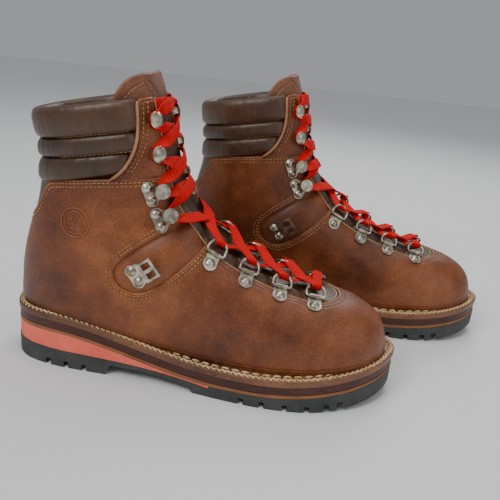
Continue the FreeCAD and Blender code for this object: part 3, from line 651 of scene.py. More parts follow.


# Flat braid: a herringbone read from the ribbon's own UV map, with painted shade in its low rows.
def makeLaceMaterial():
    material, tree, bsdf = startMaterial("redLace")
    uv = addNode(tree, "ShaderNodeUVMap", _uv_map="weave").outputs[0]
    parts = addNode(tree, "ShaderNodeSeparateXYZ", Vector=uv)
    across = mathNode(tree, "ABSOLUTE", mathNode(tree, "SUBTRACT", parts.outputs[0], 0.5))
    chevron = lean(tree, parts.outputs[1], across, 3.2)
    rows = mathNode(tree, "SINE", mathNode(tree, "MULTIPLY", chevron, 2 * math.pi))
    columns = mathNode(tree, "SINE", mathNode(tree, "MULTIPLY", parts.outputs[0], 2 * math.pi * 7))
    weave = weigh(tree, rows, 0.6, columns, 0.4)
    soil = cloud(tree, objectPlace(tree), 140.0, 3.0)
    # Painted shade in the weave's low rows, mixed with real soil patches.
    weaveShadeAndSoil = weigh(tree, ramp(tree, weave, -1.0, 0.8), 0.7, soil, 0.3)
    colour = mixColour(tree, weaveShadeAndSoil, rgb(0.42, 0.0, 0.0), rgb(0.86, 0.003, 0.001))
    setSurface(tree, bsdf, colour, 0.75, weave, 0.55, 0.0004)
    bsdf.inputs["Specular IOR Level"].default_value = 0.2
    return material


waxed = dict(dark=rgb(0.062, 0.012, 0.002), mid=rgb(0.185, 0.044, 0.007),
             light=rgb(0.37, 0.115, 0.030))
soft = dict(dark=rgb(0.020, 0.007, 0.002), mid=rgb(0.066, 0.026, 0.008), light=rgb(0.14, 0.063, 0.024))
mats = {
    "upper": leather("waxedUpper", grooves=1.0, **waxed),
    "panel": leather("waxedPanel", grooves=0.0, **waxed),
    "facing": leather("waxedFacing", grooves=1.0, one=2.4, two=4.8, **waxed),
    "tab": leather("tongueLeather", dark=rgb(0.07, 0.020, 0.007), mid=rgb(0.18, 0.055, 0.020),
                   light=rgb(0.30, 0.115, 0.05), grooves=1.0, one=6.0, two=6.0),
    "soft": leather("softCollar", pore=1300.0, relief=0.2, coat=0.3, **soft),
    "gusset": leather("softGusset", pore=420.0, relief=0.55, coat=0.1, **soft),
    "lining": leather("liningLeather", dark=rgb(0.03, 0.018, 0.012), mid=rgb(0.07, 0.045, 0.03),
                      light=rgb(0.12, 0.085, 0.06), edge=None, relief=0.25),
    "footbed": leather("footbed", dark=rgb(0.10, 0.06, 0.035), mid=rgb(0.19, 0.12, 0.07),
                       light=rgb(0.26, 0.18, 0.11), edge=None),
    "piping": leather("piping", dark=rgb(0.22, 0.085, 0.035), mid=rgb(0.42, 0.19, 0.09),
                      light=rgb(0.55, 0.30, 0.17), edge=None, pore=1400.0),
    "welt": leather("weltLeather", dark=rgb(0.075, 0.026, 0.011), mid=rgb(0.19, 0.070, 0.026),
                    light=rgb(0.33, 0.15, 0.06), edge=None, pore=700.0),
    "rawEdge": rubber("rawLeatherEdge", rgb(0.26, 0.13, 0.06), rgb(0.50, 0.31, 0.16), 0.7),
    "midsole": rubber("midsoleEdge", rgb(0.022, 0.006, 0.004), rgb(0.105, 0.022, 0.010), 0.36,
                      streak=(1, 1, 9)),
    "light": rubber("lightLayer", rgb(0.19, 0.065, 0.02), rgb(0.37, 0.15, 0.055), 0.5, streak=(1, 1, 6)),
    "wedge": rubber("coralWedge", rgb(0.88, 0.135, 0.085), rgb(1.0, 0.195, 0.130), 0.62, relief=0.12),
    "tread": rubber("treadRubber", rgb(0.026, 0.032, 0.028), rgb(0.066, 0.074, 0.066), 0.58),
    "metal": metal("antiqueNickel", rgb(0.66, 0.60, 0.48), rgb(0.30, 0.265, 0.20), 0.26),
    "cream": threadMaterial("creamThread", rgb(0.42, 0.24, 0.08), rgb(0.90, 0.68, 0.36)),
    "tan": threadMaterial("tanThread", rgb(0.26, 0.105, 0.030), rgb(0.56, 0.27, 0.09)),
    "lace": makeLaceMaterial(),
}
print("materials ready")


# Panel outlines in the side view
flexLoop = smoothLoop([(150, 136), (131, 123.5), (117, 114.5), (104, 105), (93, 95.5), (87, 86.5),
                       (89, 78), (97, 72.3), (108, 72.3), (120, 79.5), (133, 90.5), (146, 104.5),
                       (160, 122)])
upperTop = smoothLoop([(-40, 108), (2, 110), (12, 113.5), (19, 119), (24.5, 127), (29.5, 137), (33, 142),
                       (39, 144.6), (52, 147.2), (75, 150.8), (100, 153.5), (116, 155), (140, 158)],
                      closed=False)
upperCut = np.concatenate((upperTop, [(200, 160), (200, 280), (-60, 280), (-60, 108), upperTop[0]]))
pipingLine = smoothLoop([(80, 149.5), (86.5, 154), (93, 161), (98, 171), (100.2, 182), (99.8, 194),
                         (98.5, 205.5)], closed=False)
gapHalf = 24.0
gapShaft = 21.0
gapToe = 228.0


# Distance outside the lacing gap: positive on the leather.
def gapField(co):
    x, y, z = co.T
    half = np.interp(x, (125, 155), (gapShaft, gapHalf))
    flat = np.hypot(np.maximum(x - gapToe, 0), y) - half
    ahead = z > 55 + (gapToe - x) * 0.55
    return np.where(ahead, flat, 60.0)


def upperField(co):
    d = gapField(co)
    d = np.minimum(d, -within(flexLoop)(co))
    d = np.minimum(d, -within(upperCut)(co))
    return np.minimum(d, co[:, 2] - weltTop(co[:, 0]) + 1.0)


# Upper
upperSize = dict(span=(0.0, 19.2), rows=150, depth=0.0, rim=1.5, drop=1.3, wall=2.2, seams=(2.6, 5.0),
                 stitch=3.1, thread=0.42)


def creaseLift(co, d):  # gentle unevenness of lasted leather
    return (0.45 * rumple(co, 0.03) + 0.16 * rumple(co, 0.11)) * np.clip(d / 8, 0, 1)


def makeUpper():
    size = upperSize
    bm, layer = startSheet(size, upperField)
    outer = [lambda co: -within(flexLoop)(co), lambda co: -within(upperCut)(co)]
    rows = []
    for level in size["seams"]:
        for field in outer:
            rows += traceLevel(bm, field, level, lambda p: atPoint(gapField, p) > 1.0)
    finishSheet(bm, layer, size, creaseLift, "vamp", "upper", ["upper"])
    sew("upper_thread", "tan", rows, size["stitch"], size["thread"])


flexSize = dict(span=(6.5, 15.5), rows=72, depth=0.9, rim=1.0, drop=0.8, wall=1.8, tuck=3.5, puff=2.6)


# Soft insert under the quarter, puffed inside its seam.
def makeFlexPanels():
    size = flexSize
    grown = within(flexLoop)

    def puff(co, d):
        return -0.9 + size["puff"] * np.clip((grown(co) - 2.0) / 9, 0, 1) ** 0.7

    bm, layer = startSheet(size, lambda co: np.minimum(grown(co) + size["tuck"], gapField(co)))
    finishSheet(bm, layer, size, puff, "flex_insert", "panel", ["flex_panels"])


# Facings and piping
facingSize = dict(span=(15.5, 21.5), rows=66, depth=0.3, rim=1.4, drop=1.2, wall=2.4, top=191.5,
                  low=138.0, seams=(2.4, 4.8), stitch=3.0, thread=0.42, bead=1.15)
facingLine = np.concatenate((pipingLine, [(98.5, 260), (200, 260), (200, 140), (80, 140), pipingLine[0]]))


def belowTop(co):
    return facingSize["top"] + 0.2 * (co[:, 0] - 22) - co[:, 2]


def facingField(co):
    d = np.minimum(within(facingLine)(co), gapField(co))
    d = np.minimum(d, belowTop(co))
    low = facingSize["low"] + 0.13 * (co[:, 0] - 22)
    return np.minimum(d, co[:, 2] - low)


def makeFacings():
    size = facingSize
    bm, layer = startSheet(size, facingField)
    behind = within(facingLine)

    def above(p):
        return p.z > 156 + 0.12 * (p.x - 86) and atPoint(gapField, p) > 1.5 and p.x < 130

    rows = []
    for level in size["seams"]:
        rows += traceLevel(bm, behind, level, lambda p: above(p) and atPoint(belowTop, p) > 2)
    rows += traceLevel(bm, belowTop, 3.0, lambda p: above(p) and atPoint(behind, p) > 2.4)
    finishSheet(bm, layer, size, 0.0, "facing", "facing", ["facings"])
    sew("facing_thread", "tan", rows, size["stitch"], size["thread"])
    bead = bmesh.new()
    for side in (-1, 1):
        line = [onSide(x - 0.4, z, side, -1.0) for x, z in pipingLine[::4] if z > 151]
        addTube(bead, line, size["bead"], 10)
    finishPiece(bead, "piping", "piping")


# Closed round tube along points.
def addTube(bm, points, radius, sides):
    rings = []
    for i, p in enumerate(points):
        ahead = Vector(points[min(i + 1, len(points) - 1)]) - Vector(points[max(i - 1, 0)])
        t = ahead.normalized()
        u = t.orthogonal().normalized() if i == 0 else (u - t * u.dot(t)).normalized()
        w = t.cross(u)
        r = radius * (0.55 if i in (0, len(points) - 1) else 1.0)
        rings.append([bm.verts.new(Vector(p) + (u * math.cos(a) + w * math.sin(a)) * r)
                      for a in np.arange(sides) * 2 * math.pi / sides])
    bridge(bm, rings)


# Collar
collarSize = dict(levels=(138.6, 156.8, 170.2, 191.4), bulges=(2.2, 2.5, 3.4), inner=6.0, around=150,
                  about=26, shares=(0.135, 0.865), seams=((0.16, 0.34), (0.66, 0.84)))


def pipingAt(z):
    return np.interp(z, pipingLine[:, 1], pipingLine[:, 0])


def levelToStation(level):
    line = sections[:, 1]
    for i in range(14, lastSection):
        if line[i] <= level <= line[i + 1]:
            low, high = float(i), float(i + 1)
            for _ in range(20):
                mid = (low + high) / 2
                if sectionAt(mid)[1] < level:
                    low = mid
                else:
                    high = mid
            return low
    return float(lastSection - 1)


# Point round the shaft at a level: share 0 at the ridge, 0.5 at the heel side.
def shaftPoint(level, share, depth, cache={}):
    key = (round(level, 2), round(depth, 2))
    if key not in cache:
        cache[key] = ringPoints(levelToStation(level), depth, 120)
    ring = cache[key]
    at = (share % 1.0) * len(ring)
    i = int(at)
    t = at - i
    return ring[i % len(ring)] * (1 - t) + ring[(i + 1) % len(ring)] * t


# Three padded rolls; each is a closed form round the back of the shaft.
def makeCollar():
    size = collarSize
    levels, about, inner = size["levels"], size["about"], size["inner"]
    bm = bmesh.new()
    layer = bm.verts.layers.float.new("edge")
    for roll, (low, high, bulge) in enumerate(zip(levels, levels[1:], size["bulges"])):
        middle, half = (low + high) / 2, (high - low) / 2 - 0.1
        rings = []
        for share in np.linspace(*size["shares"], size["around"] + 1):
            probe = shaftPoint(middle, share, 0)
            near = float(segmentDistance(np.array([[probe[0], probe[2]]]), pipingLine)[0])
            near *= -1 if probe[0] > pipingAt(probe[2]) else 1
            swell = min(max((near + 1.5) / 8, 0.0), 1.0) ** 0.5
            outer = -bulge * swell + 2.6 * (1 - swell)
            centre, reach = (outer + inner) / 2, (inner - outer) / 2
            ring = []
            for k in range(about):
                w = 2 * math.pi * k / about
                c, s = math.cos(w), math.sin(w)
                depth = centre - reach * math.copysign(abs(c) ** 0.75, c)
                level = middle + half * math.copysign(abs(s) ** 0.8, s)
                p = Vector(shaftPoint(level, share, depth))
                wrinkle = 0.35 * noise.noise(Vector((share * 90, level * 0.05, roll * 7.3)))
                wrinkle += 0.3 * noise.noise(p * 0.09)
                out = Vector((p.x - 68, p.y, 0)).normalized()
                v = bm.verts.new(p + out * wrinkle * swell)
                v[layer] = 6.0  # far from any cut edge
                ring.append(v)
            rings.append(ring)
        bridge(bm, rings)
    bmesh.ops.recalc_face_normals(bm, faces=bm.faces)
    for piece in finishPiece(bm, "collar_rolls", "soft", ["collar"]):
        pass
    rows = []
    for level in levels[1:3]:
        for span in size["seams"]:
            line = [(Vector(shaftPoint(level + 0.5, s, -0.15)),
                     Vector((shaftPoint(level, s, -4) - shaftPoint(level, s, 0))))
                    for s in np.linspace(*span, 30)]
            rows.append([p for p in line if p[0].x < pipingAt(p[0].z) - 1])
    sew("collar_thread", "tan", [r for r in rows if len(r) > 3], 3.0, 0.4)


# Heel panels
achillesLoop = smoothLoop([(-20, 150), (-20, 108), (4, 108), (14, 112), (21, 118), (27, 127), (32, 137),
                           (36, 142), (44, 146), (44, 150)])
heelSize = dict(span=(15.0, 19.2), rows=50, depth=0.6, rim=1.2, drop=0.6, wall=2.0)
stripSize = dict(span=(12.5, 17.0), rows=60, depth=0.0, rim=1.2, drop=1.0, wall=1.0, half=8.5, top=112,
                 lift=1.1)


def stripField(co):
    x, y, z = co.T
    half = stripSize["half"] - 2.5 * np.clip((z - 60) / 60, 0, 1)
    d = np.minimum(half - np.abs(y), stripSize["top"] - z)
    d = np.minimum(d, z - weltTop(x) + 1.0)
    return np.where(x < 60, d, -9.0)


def heelPuff(co, d):
    return -0.6 + 1.5 * np.clip(d / 10, 0, 1) + 0.25 * rumple(co, 0.12)


def makeHeelPanels():
    bm, layer = startSheet(heelSize, within(achillesLoop))
    finishSheet(bm, layer, heelSize, heelPuff, "heel_soft_panel", "soft",
                ["achilles_panel"])
    bm, layer = startSheet(stripSize, stripField)
    rows = traceLevel(bm, stripField, 2.0, lambda p: p.z > 46 and abs(p.y) > 2)
    finishSheet(bm, layer, stripSize, stripSize["lift"], "heel_strip", "panel",
                ["backstay"])
    sew("heel_thread", "tan", rows, 3.0, 0.4)


# Tongue and gusset
tongueSize = dict(span=(4.0, 22.0), rows=150, depth=2.6, rim=2.2, drop=2.0, wall=5.0, swell=1.5,
                  seams=(-15.0, -5.0, 5.0, 15.0))
capSize = dict(span=(19.0, 22.0), rows=60, depth=2.2, rim=1.3, drop=1.4, wall=2.2)


def tongueField(co):
    x, y, z = co.T
    half = np.interp(z, (60, 130, 150, 205, 225), (24.0, 26.0, 27.0, 26.5, 24.0))
    d = half - np.abs(y)
    tip = 25.5 - np.hypot(y, np.maximum(z - 197.0, 0))
    d = np.where(z > 197, np.minimum(d, tip), d)
    d = np.minimum(d, 238 - x)
    ahead = z > 52 + (gapToe - x) * 0.58
    return np.where(ahead & (x > 60), d, -9.0)


capOutline = smoothLoop([(84, 190), (81.5, 200), (83, 207), (87, 213.5), (93, 219.5), (99, 222.8),
                         (105, 221.5), (112, 207), (114, 190), (96, 186)])


def capField(co):
    return np.minimum(within(capOutline)(co), co[:, 2] - 196)


# The cap stands out at the front and tucks in behind the collar at the sides.
def capLift(co, d):
    share = np.clip((30 - np.abs(co[:, 1])) / 8, 0, 1)
    return -4.2 + share * 5.0


def tonguePad(co, d):  # padding with four sewn channels
    y, z = co[:, 1], co[:, 2]
    seams = np.zeros(len(co))
    for at in tongueSize["seams"]:
        seams = np.maximum(seams, np.exp(-((y - at) / 1.0) ** 2))
    swell = tongueSize["swell"] * np.clip(d / 6, 0, 1)
    body = np.where(z < 206, swell - 1.3 * seams, swell)
    return body + 0.5 * rumple(co, 0.16) - 1.0


def makeTongue():
    bm, layer = startSheet(tongueSize, tongueField)
    made = finishSheet(bm, layer, tongueSize, tonguePad, "tongue_body", "soft", ["tongue"])
    bm, layer = startSheet(capSize, capField)
    roundRim(bm, layer, capSize["rim"], capSize["drop"], capLift)
    rows = traceLevel(bm, capField, 6.0, lambda p: p.z > 200)
    finishPiece(bm, "tongue_cap", "tab", wall=capSize["wall"])
    sew("tongue_thread", "tan", rows, 3.0, 0.4)


# Gusset, folded between the rings, and the tab at the toe
ringSpots = [(232.6, 72.0), (206.5, 77.0), (180.5, 85.0), (154.0, 96.5)]
gussetSize = dict(span=(3.5, 15.0), rows=130, depth=2.4, rim=1.0, drop=0.8, wall=0.9, fold=4.6)
toeTabSize = dict(span=(3.0, 6.5), rows=50, depth=1.8, rim=1.0, drop=0.8, wall=1.5, lift=0.8,
                  threadLift=0.85)


def gussetField(co):
    x, y, z = co.T
    d = np.minimum(26 - np.abs(y), np.abs(y) - 9.5)
    d = np.minimum(d, 243 - x)
    d = np.minimum(d, x - 108)
    ahead = z > 52 + (gapToe - x) * 0.58
    return np.where(ahead, np.minimum(d, 150 - z), -9.0)


def scallop(co, d):
    x, y = co[:, 0], co[:, 1]
    out = np.zeros(len(co))
    stops = [238.0] + [s[0] - 8 for s in ringSpots] + [126.0]
    for high, low in zip(stops, stops[1:]):
        t = (x - low) / (high - low)
        out = np.where((t > 0) & (t < 1), np.sin(np.clip(t, 0, 1) * math.pi) ** 0.8, out)
    across = np.exp(-((np.abs(y) - 17.5) / 4.6) ** 2)
    crumple = np.array([noise.noise(Vector((p[0] * 0.10, p[1] * 0.3, p[2] * 0.1))) for p in co])
    return (gussetSize["fold"] * out * across + 0.7 * crumple) * np.clip(d / 3, 0, 1)


def tabField(co):
    x, y, z = co.T
    d = np.minimum(18.5 - np.abs(y), 0.96 * (gapHalf - np.hypot(np.maximum(x - gapToe, 0), y)))
    return np.where(z > 55, np.minimum(d, x - 232), -9.0)


def makeGusset():
    bm, layer = startSheet(gussetSize, gussetField)
    finishSheet(bm, layer, gussetSize, scallop, "gusset_folds", "gusset", ["gusset"])
    bm, layer = startSheet(toeTabSize, tabField)
    rows = traceLevel(bm, tabField, 2.2, lambda p: p.x > 236)
    finishSheet(bm, layer, toeTabSize, toeTabSize["lift"], "toe_tab", "gusset",
                ["tongue_tab"])
    thread = addStitches(bmesh.new(), rows, 2.6, 0.38)
    for v in thread.verts:
        v.co.z += toeTabSize["threadLift"]
    finishPiece(thread, "toe_tab_thread", "cream")


# Light cut edge of the leather along the lacing gap.
def makeRawEdge():
    def onLeather(p):
        return p.z > 62 and atPoint(gapField, p) < 1.0 and atPoint(belowTop, p) > 0

    grid = formGrid(1.5, 21.0, 140, 0.35)
    lines = traceLevel(grid, gapField, 0.25, onLeather)
    grid.free()
    bm = bmesh.new()
    for line in lines:
        points = [q[0] for q in line][::2]
        if len(points) > 3:
            addTube(bm, points, 0.62, 6)
    finishPiece(bm, "lacing_edge", "rawEdge")


# Lace
hookPlates = [((114.0, 129.2), (118.4, 120.8)), ((107.1, 147.5), (110.5, 138.9))]
topHooks = [(110.5, 170.5), (106.5, 193.0)]
laceSize = dict(wide=9.4, thick=1.4, turn=2.6, pitch=0.9, lowCross=1.7, highCross=3.8, narrow=0.8,
                about=14, endHeight=203)


def turnFrom(n, inward):
    y = n.cross(inward).normalized()
    return Matrix((y.cross(n), y, n)).transposed()


# Frame on the form: x toward the lacing, z off the leather.
def spotFrame(x, z, side, toward=None):
    p = onSide(x, z, side)
    n = sideNormal(x, z, side)
    inward = toward - p if toward else Vector((0, -side, 0))
    return turnFrom(n, inward), p


# Frame of a ring or hook, with the lace's reach and lift in it.
def passFrame(index, side):
    size = laceSize
    if index < 4:
        x, z = ringSpots[index]
        turn, p = spotFrame(x, z, side, Vector((x, 0, z + 9)))
        reach = 8.0 + 10.5 * math.cos(math.radians(12)) - size["turn"]
        return turn, p, reach, 1.9 + 10.5 * math.sin(math.radians(12)), None
    if index < 6:
        (x0, z0), (x1, z1) = hookPlates[index - 4]
        a, b = onSide(x0, z0, side), onSide(x1, z1, side)
        n = sideNormal((x0 + x1) / 2, (z0 + z1) / 2, side)
        inward = (a - b).cross(n)
        if inward.y * side > 0:
            inward = -inward
        return turnFrom(n, inward), (a + b) / 2 + n * 0.3, 8.1, 3.65, 4.6
    x, z = topHooks[index - 6]
    turn, p = spotFrame(x, z, side)
    return turn, p, -0.9, 3.1, 4.6


# Lace corners at a ring or hook with the direction of the ribbon's width.
def passPoints(index, side, upward):
    turn, p, reach, lift, spread = passFrame(index, side)
    if spread is None:
        r = laceSize["turn"]
        local = [Vector((reach, 0, lift - r)), Vector((reach, 0, lift + r))]
        width = turn @ Vector((0, 1, 0))
        width = -width if width.x > 0 else width
    else:
        flip = 1 if (turn @ Vector((0, 1, 0))).z > 0 else -1
        local = [Vector((reach, -spread * flip, lift)), Vector((reach, spread * flip, lift))]
        width = turn @ Vector((0, 0, 1))
    made = [(turn @ q + p, width, laceSize["narrow"]) for q in local]
    if index < 4 and side > 0:
        upward = not upward
    return made if upward else made[::-1]

# Point above the tongue at a height, a set way from its centre line.
def frontPoint(z, y, lift):
    side = 1 if y > 0 else -1
    low, high = 85.0, 112.0
    for _ in range(30):
        x = (low + high) / 2
        if abs(onSide(x, z, side).y) > abs(y):
            low = x
        else:
            high = x
    return onSide(low, z, side) + sideNormal(low, z, side) * lift


# Points of a strand that lies over the tongue between two rings or hooks.
def strand(a, b, lift):
    low, high = locate(a[0].x, a[0].z), locate(b[0].x, b[0].z)
    made = []
    onRings = max(a[0].z, b[0].z) < 116
    for share in (0.5,) if onRings else (0.26, 0.5, 0.74):
        row = sectionAt(low + (high - low) * share)
        bx, bz, rx, rz, wide, base, level, roundness = row[:8]
        y = a[0].y + (b[0].y - a[0].y) * share
        v = level + (1 - level) * (1 - min(abs(y) / wide, 0.98) ** roundness) ** (1 / roundness)
        rise = Vector((rx - bx, 0, rz - bz)).normalized()
        up = lift if share == 0.5 else max(lift * 0.8, 1.6)
        p = Vector((bx + (rx - bx) * v, y, bz + (rz - bz) * v)) + rise * up
        p += Vector((0, math.copysign(1.0, y) * min(abs(y) / 14, 1), 0))
        made.append((p, Vector((-abs(rise.z), 0, rise.x)), 1.0))
    return made


def laceRoute():
    low, high = laceSize["lowCross"], laceSize["highCross"]
    down = [passPoints(i, -1 if i % 2 else 1, False) for i in range(7, -1, -1)]
    up = [passPoints(i, 1 if i % 2 else -1, True) for i in range(8)]

    def tail(y, lift, share):
        return frontPoint(laceSize["endHeight"], y, lift), Vector((-0.3, 0, 1)), share

    route = [tail(23, -1.5, 0.8), tail(17, 1.0, 0.9)]
    for number, turn in enumerate(down):
        route += strand(route[-1], turn[0], low if number % 2 else high)
        route += turn
    for number, turn in enumerate(up):
        if number:
            route += strand(route[-1], turn[0], high if number % 2 else low)
        route += turn
    last = tail(-17, 1.0, 0.9)
    return route + strand(route[-1], last, low) + [last, tail(-23, -1.5, 0.8)]


def smoothed(values, sigma):
    reach = int(3 * sigma) + 1
    kernel = np.exp(-0.5 * (np.arange(-reach, reach + 1) / sigma) ** 2)
    kernel /= kernel.sum()
    padded = np.concatenate((np.repeat(values[:1], reach, 0), values, np.repeat(values[-1:], reach, 0)))
    return np.stack([np.convolve(padded[:, k], kernel, "valid") for k in range(values.shape[1])], 1)


# Flat braided ribbon on the same way round the rings and hooks as the held lace.
def makeLace():
    size = laceSize
    route = laceRoute()
    p = np.array([q[0][:] for q in route])
    w = np.array([q[1][:] for q in route])
    s = np.array([[q[2]] for q in route])
    for i in range(1, len(w)):
        if w[i] @ w[i - 1] < 0:
            w[i] = -w[i]
    run = runLength(p)
    at = np.arange(0, run[-1], size["pitch"])
    centre = smoothed(readAt(at, run, p), 1.5 / size["pitch"])
    hint = smoothed(readAt(at, run, w), 3.0 / size["pitch"])
    share = smoothed(readAt(at, run, s), 3.0 / size["pitch"])[:, 0]
    bm = bmesh.new()
    uv = bm.loops.layers.uv.new("weave")
    about = size["about"]
    rings = []
    for i, c in enumerate(centre):
        t = Vector(centre[min(i + 1, len(centre) - 1)] - centre[max(i - 1, 0)]).normalized()
        side = Vector(hint[i])
        side = (side - t * side.dot(t)).normalized()
        up = t.cross(side)
        half = size["wide"] / 2 * share[i]
        thick = size["thick"] / 2 * (1 + 0.5 * (1 - share[i]))
        ring = []
        for k in range(about):
            a = 2 * math.pi * k / about
            ca, sa = math.cos(a), math.sin(a)
            ca = math.copysign(abs(ca) ** 0.8, ca)
            sa = math.copysign(abs(sa) ** 0.7, sa)
            ring.append(bm.verts.new(Vector(c) + side * ca * half + up * sa * thick))
        rings.append(ring)
    for number, face in enumerate(bridge(bm, rings)):
        i, k = divmod(number, about)
        across = [0.5 + 0.5 * math.cos(2 * math.pi * n / about) for n in (k, k + 1, k + 1, k)]
        for loop, u, row in zip(face.loops, across, (i, i, i + 1, i + 1)):
            loop[uv].uv = (u, row * size["pitch"] / 3.2)
    bmesh.ops.recalc_face_normals(bm, faces=bm.faces)
    finishPiece(bm, "flat_lace", "lace", ["lace"])


# Sole
soleSize = dict(weltRise=5.0, midsoleRise=7.0, lightRise=2.5, wave=0.18, chainInset=2.6, chainHalf=0.75,
                seamInset=6.6)
outlineCurve = smoothLoop(outline, steps=10)[:-1]


def lineHeight(line, x):
    line = np.array(smoothLoop(line, closed=False))
    return np.interp(x, line[:, 0], line[:, 1])


# Outline drawn in by an inset, with its outward direction.
def outlineAt(inset):
    run = np.roll(outlineCurve, -1, 0) - np.roll(outlineCurve, 1, 0)
    out = np.stack((-run[:, 1], run[:, 0]), 1) / np.linalg.norm(run, axis=1)[:, None]
    middle = outlineCurve.mean(0)
    if ((outlineCurve - middle) * out).sum() < 0:
        out = -out
    return outlineCurve - out * inset, out


# Band of one sole layer: a rounded wall with short flat returns inward.
def soleBand(inset, low, high, deep, soften):
    bm = bmesh.new()
    profile = [(deep, 0.0, 0), (soften, 0.0, 0), (soften * 0.3, soften * 0.3, 0), (0.0, soften, 0),
               (0.0, -soften, 1), (soften * 0.3, -soften * 0.3, 1), (soften, 0.0, 1), (deep, 0.0, 1)]
    out = outlineAt(0)[1]
    rings = []
    for inward, rise, top in profile:
        flat = outlineAt(inset + inward)[0]
        z = lineHeight(high if top else low, flat[:, 0]) + rise
        shake = np.array([noise.noise(Vector((a * 0.07, b * 0.07, 3.1))) for a, b in flat])
        flat = flat + out * (soleSize["wave"] * shake)[:, None]
        rings.append([bm.verts.new(p) for p in np.column_stack((flat, z))])
    bridge(bm, rings + rings[:1], capped=False)
    bmesh.ops.recalc_face_normals(bm, faces=bm.faces)
    return bm


# Closed line on the welt's top, a set way in from its edge.
def weltSeam(inset):
    flat = outlineAt(inset)[0]
    z = lineHeight(weltLine, flat[:, 0])
    line = [(Vector((x, y, h)), Vector((0, 0, 1))) for (x, y), h in zip(flat, z)]
    return [line + line[:1]]


def makeSole():
    size = soleSize
    weltLow = [(x, z - size["weltRise"]) for x, z in weltLine]
    darkLow = [(x, z - size["midsoleRise"]) for x, z in weltLow]
    lightLow = [(x, z - size["lightRise"]) for x, z in darkLow]
    layers = (("welt_band", weltLow, weltLine, 0.0, 10.0, 1.1, "welt", "welt_leather"),
              ("midsole_band", darkLow, weltLow, 0.9, 8.0, 0.5, "midsole", "midsole_leather"),
              ("light_band", lightLow, darkLow, 0.5, 8.0, 0.35, "light", "light_layer"))
    for name, low, high, inset, deep, soften, look, slot in layers:
        finishPiece(soleBand(inset, low, high, deep, soften), name, look)
    chain = bmesh.new()
    for way in (-1, 1):
        seam = weltSeam(size["chainInset"] + size["chainHalf"] * way)
        addStitches(chain, seam, 4.2, 0.66, 1.0, slant=0.42 * way)
    finishPiece(chain, "welt_chain", "cream")
    inner = addStitches(bmesh.new(), weltSeam(size["seamInset"]), 7.6, 0.8, 0.8)
    finishPiece(inner, "welt_stitch", "cream")


# Generic mark
markSize = dict(x=58.0, z=118.0, radius=10.5, peaks=((-6.2, -3.4), (-2.6, 2.6), (-0.4, -0.6), (2.4, 4.6),
                                                     (6.4, -3.4)))


# A plain ring with two peaks, raised on the outer side of the quarter.
def makeMark():
    size = markSize
    bm = bmesh.new()

    def at(dx, dz):
        return onSide(size["x"] + dx, size["z"] + dz, -1, -0.15)

    for share, wire in ((1.0, 0.55), (0.78, 0.35)):
        r = share * size["radius"]
        turns = np.linspace(0, 2 * math.pi, 49)
        addTube(bm, [at(r * math.cos(a), r * math.sin(a)) for a in turns], wire, 8)
    addTube(bm, [at(dx, dz) for dx, dz in size["peaks"]], 0.5, 8)
    addTube(bm, [at(dx, -4.4) for dx in (-6, -3, 0, 3, 6)], 0.4, 8)
    finishPiece(bm, "side_mark", "panel")


# Nodes kept as they are
def dressNodes():
    looks = {"antique_nickel": "metal", "tread_rubber": "tread", "wedge_rubber": "wedge",
             "lining_leather": "lining", "footbed_leather": "footbed", "shank_steel": "metal",
             "welt_leather": "welt", "midsole_leather": "midsole", "light_layer": "light"}
    for piece in bpy.context.scene.objects:
        if piece.type != "MESH":
            continue
        for slot in piece.material_slots:
            name = slot.material.name if slot.material else ""
            for key, look in looks.items():
                if key in name:
                    slot.material = mats[look]


dressNodes()
print("nodes dressed")
for stage in (makeUpper, makeFlexPanels, makeFacings, makeCollar, makeHeelPanels, makeTongue, makeGusset,
              makeRawEdge, makeLace, makeSole, makeMark):
    stage()
    print("made", stage.__name__)


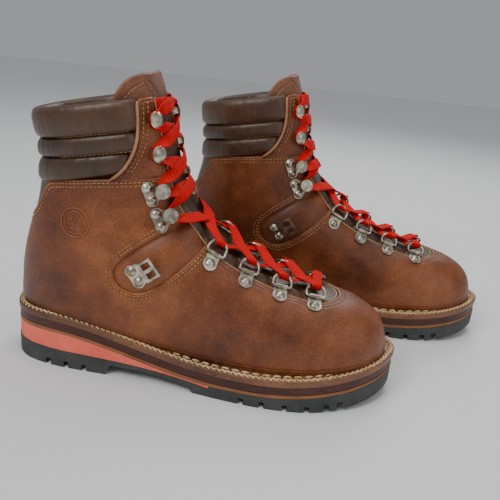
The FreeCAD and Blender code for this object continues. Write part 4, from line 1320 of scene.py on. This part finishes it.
# Stage and camera
def startStage():
    world = bpy.data.worlds.new("studio")
    bpy.context.scene.world = world
    world.use_nodes = True
    back = world.node_tree.nodes["Background"]
    back.inputs[0].default_value = (0.93, 0.96, 1.0, 1.0)
    back.inputs[1].default_value = 0.36
    mesh = bpy.data.meshes.new("floor")
    mesh.from_pydata([(-3, -3, 0), (3, -3, 0), (3, 3, 0), (-3, 3, 0)], [], [(0, 1, 2, 3)])
    floor = bpy.data.objects.new("floor", mesh)
    bpy.context.collection.objects.link(floor)
    material, tree, bsdf = startMaterial("paleFloor")
    bsdf.inputs["Base Color"].default_value = (0.86, 0.86, 0.86, 1)
    bsdf.inputs["Roughness"].default_value = 0.9
    mesh.materials.append(material)
    lamps = [("key", (-0.55, -0.75, 0.95), 6.0, 0.5), ("fill", (0.85, -0.55, 0.6), 2.0, 0.8),
             ("rear", (0.25, 0.9, 0.9), 4.5, 0.6), ("top", (0.0, 0.0, 1.25), 3.5, 0.7)]
    for name, where, power, size in lamps:
        light = bpy.data.lights.new(name, "AREA")
        light.energy = power
        light.size = size
        lamp = bpy.data.objects.new(name, light)
        lamp.location = where
        aim = Vector((0, 0, 0.08)) - Vector(where)
        lamp.rotation_euler = aim.to_track_quat("-Z", "Y").to_euler()
        bpy.context.collection.objects.link(lamp)


cameraSize = dict(yaw=-0.0684314, pitch=0.3423938, roll=-0.1008824, lens=43.44, sensor=36.0,
                  place=(0.01169, -0.50050, 0.25395))


def startCamera():
    size = cameraSize
    yaw, pitch, roll = size["yaw"], size["pitch"], size["roll"]
    fwd = Vector((math.sin(yaw) * math.cos(pitch), math.cos(yaw) * math.cos(pitch), -math.sin(pitch)))
    r = Vector((math.cos(yaw), -math.sin(yaw), 0))
    d = fwd.cross(r)
    right = r * math.cos(roll) + d * math.sin(roll)
    down = d * math.cos(roll) - r * math.sin(roll)
    lens = bpy.data.cameras.new("view")
    lens.lens = size["lens"]
    lens.sensor_width = size["sensor"]
    eye = bpy.data.objects.new("view", lens)
    turn = Matrix((right, -down, -fwd)).transposed().to_4x4()
    eye.matrix_world = Matrix.Translation(size["place"]) @ turn
    bpy.context.collection.objects.link(eye)
    bpy.context.scene.camera = eye


startStage()
startCamera()
print("stage ready")
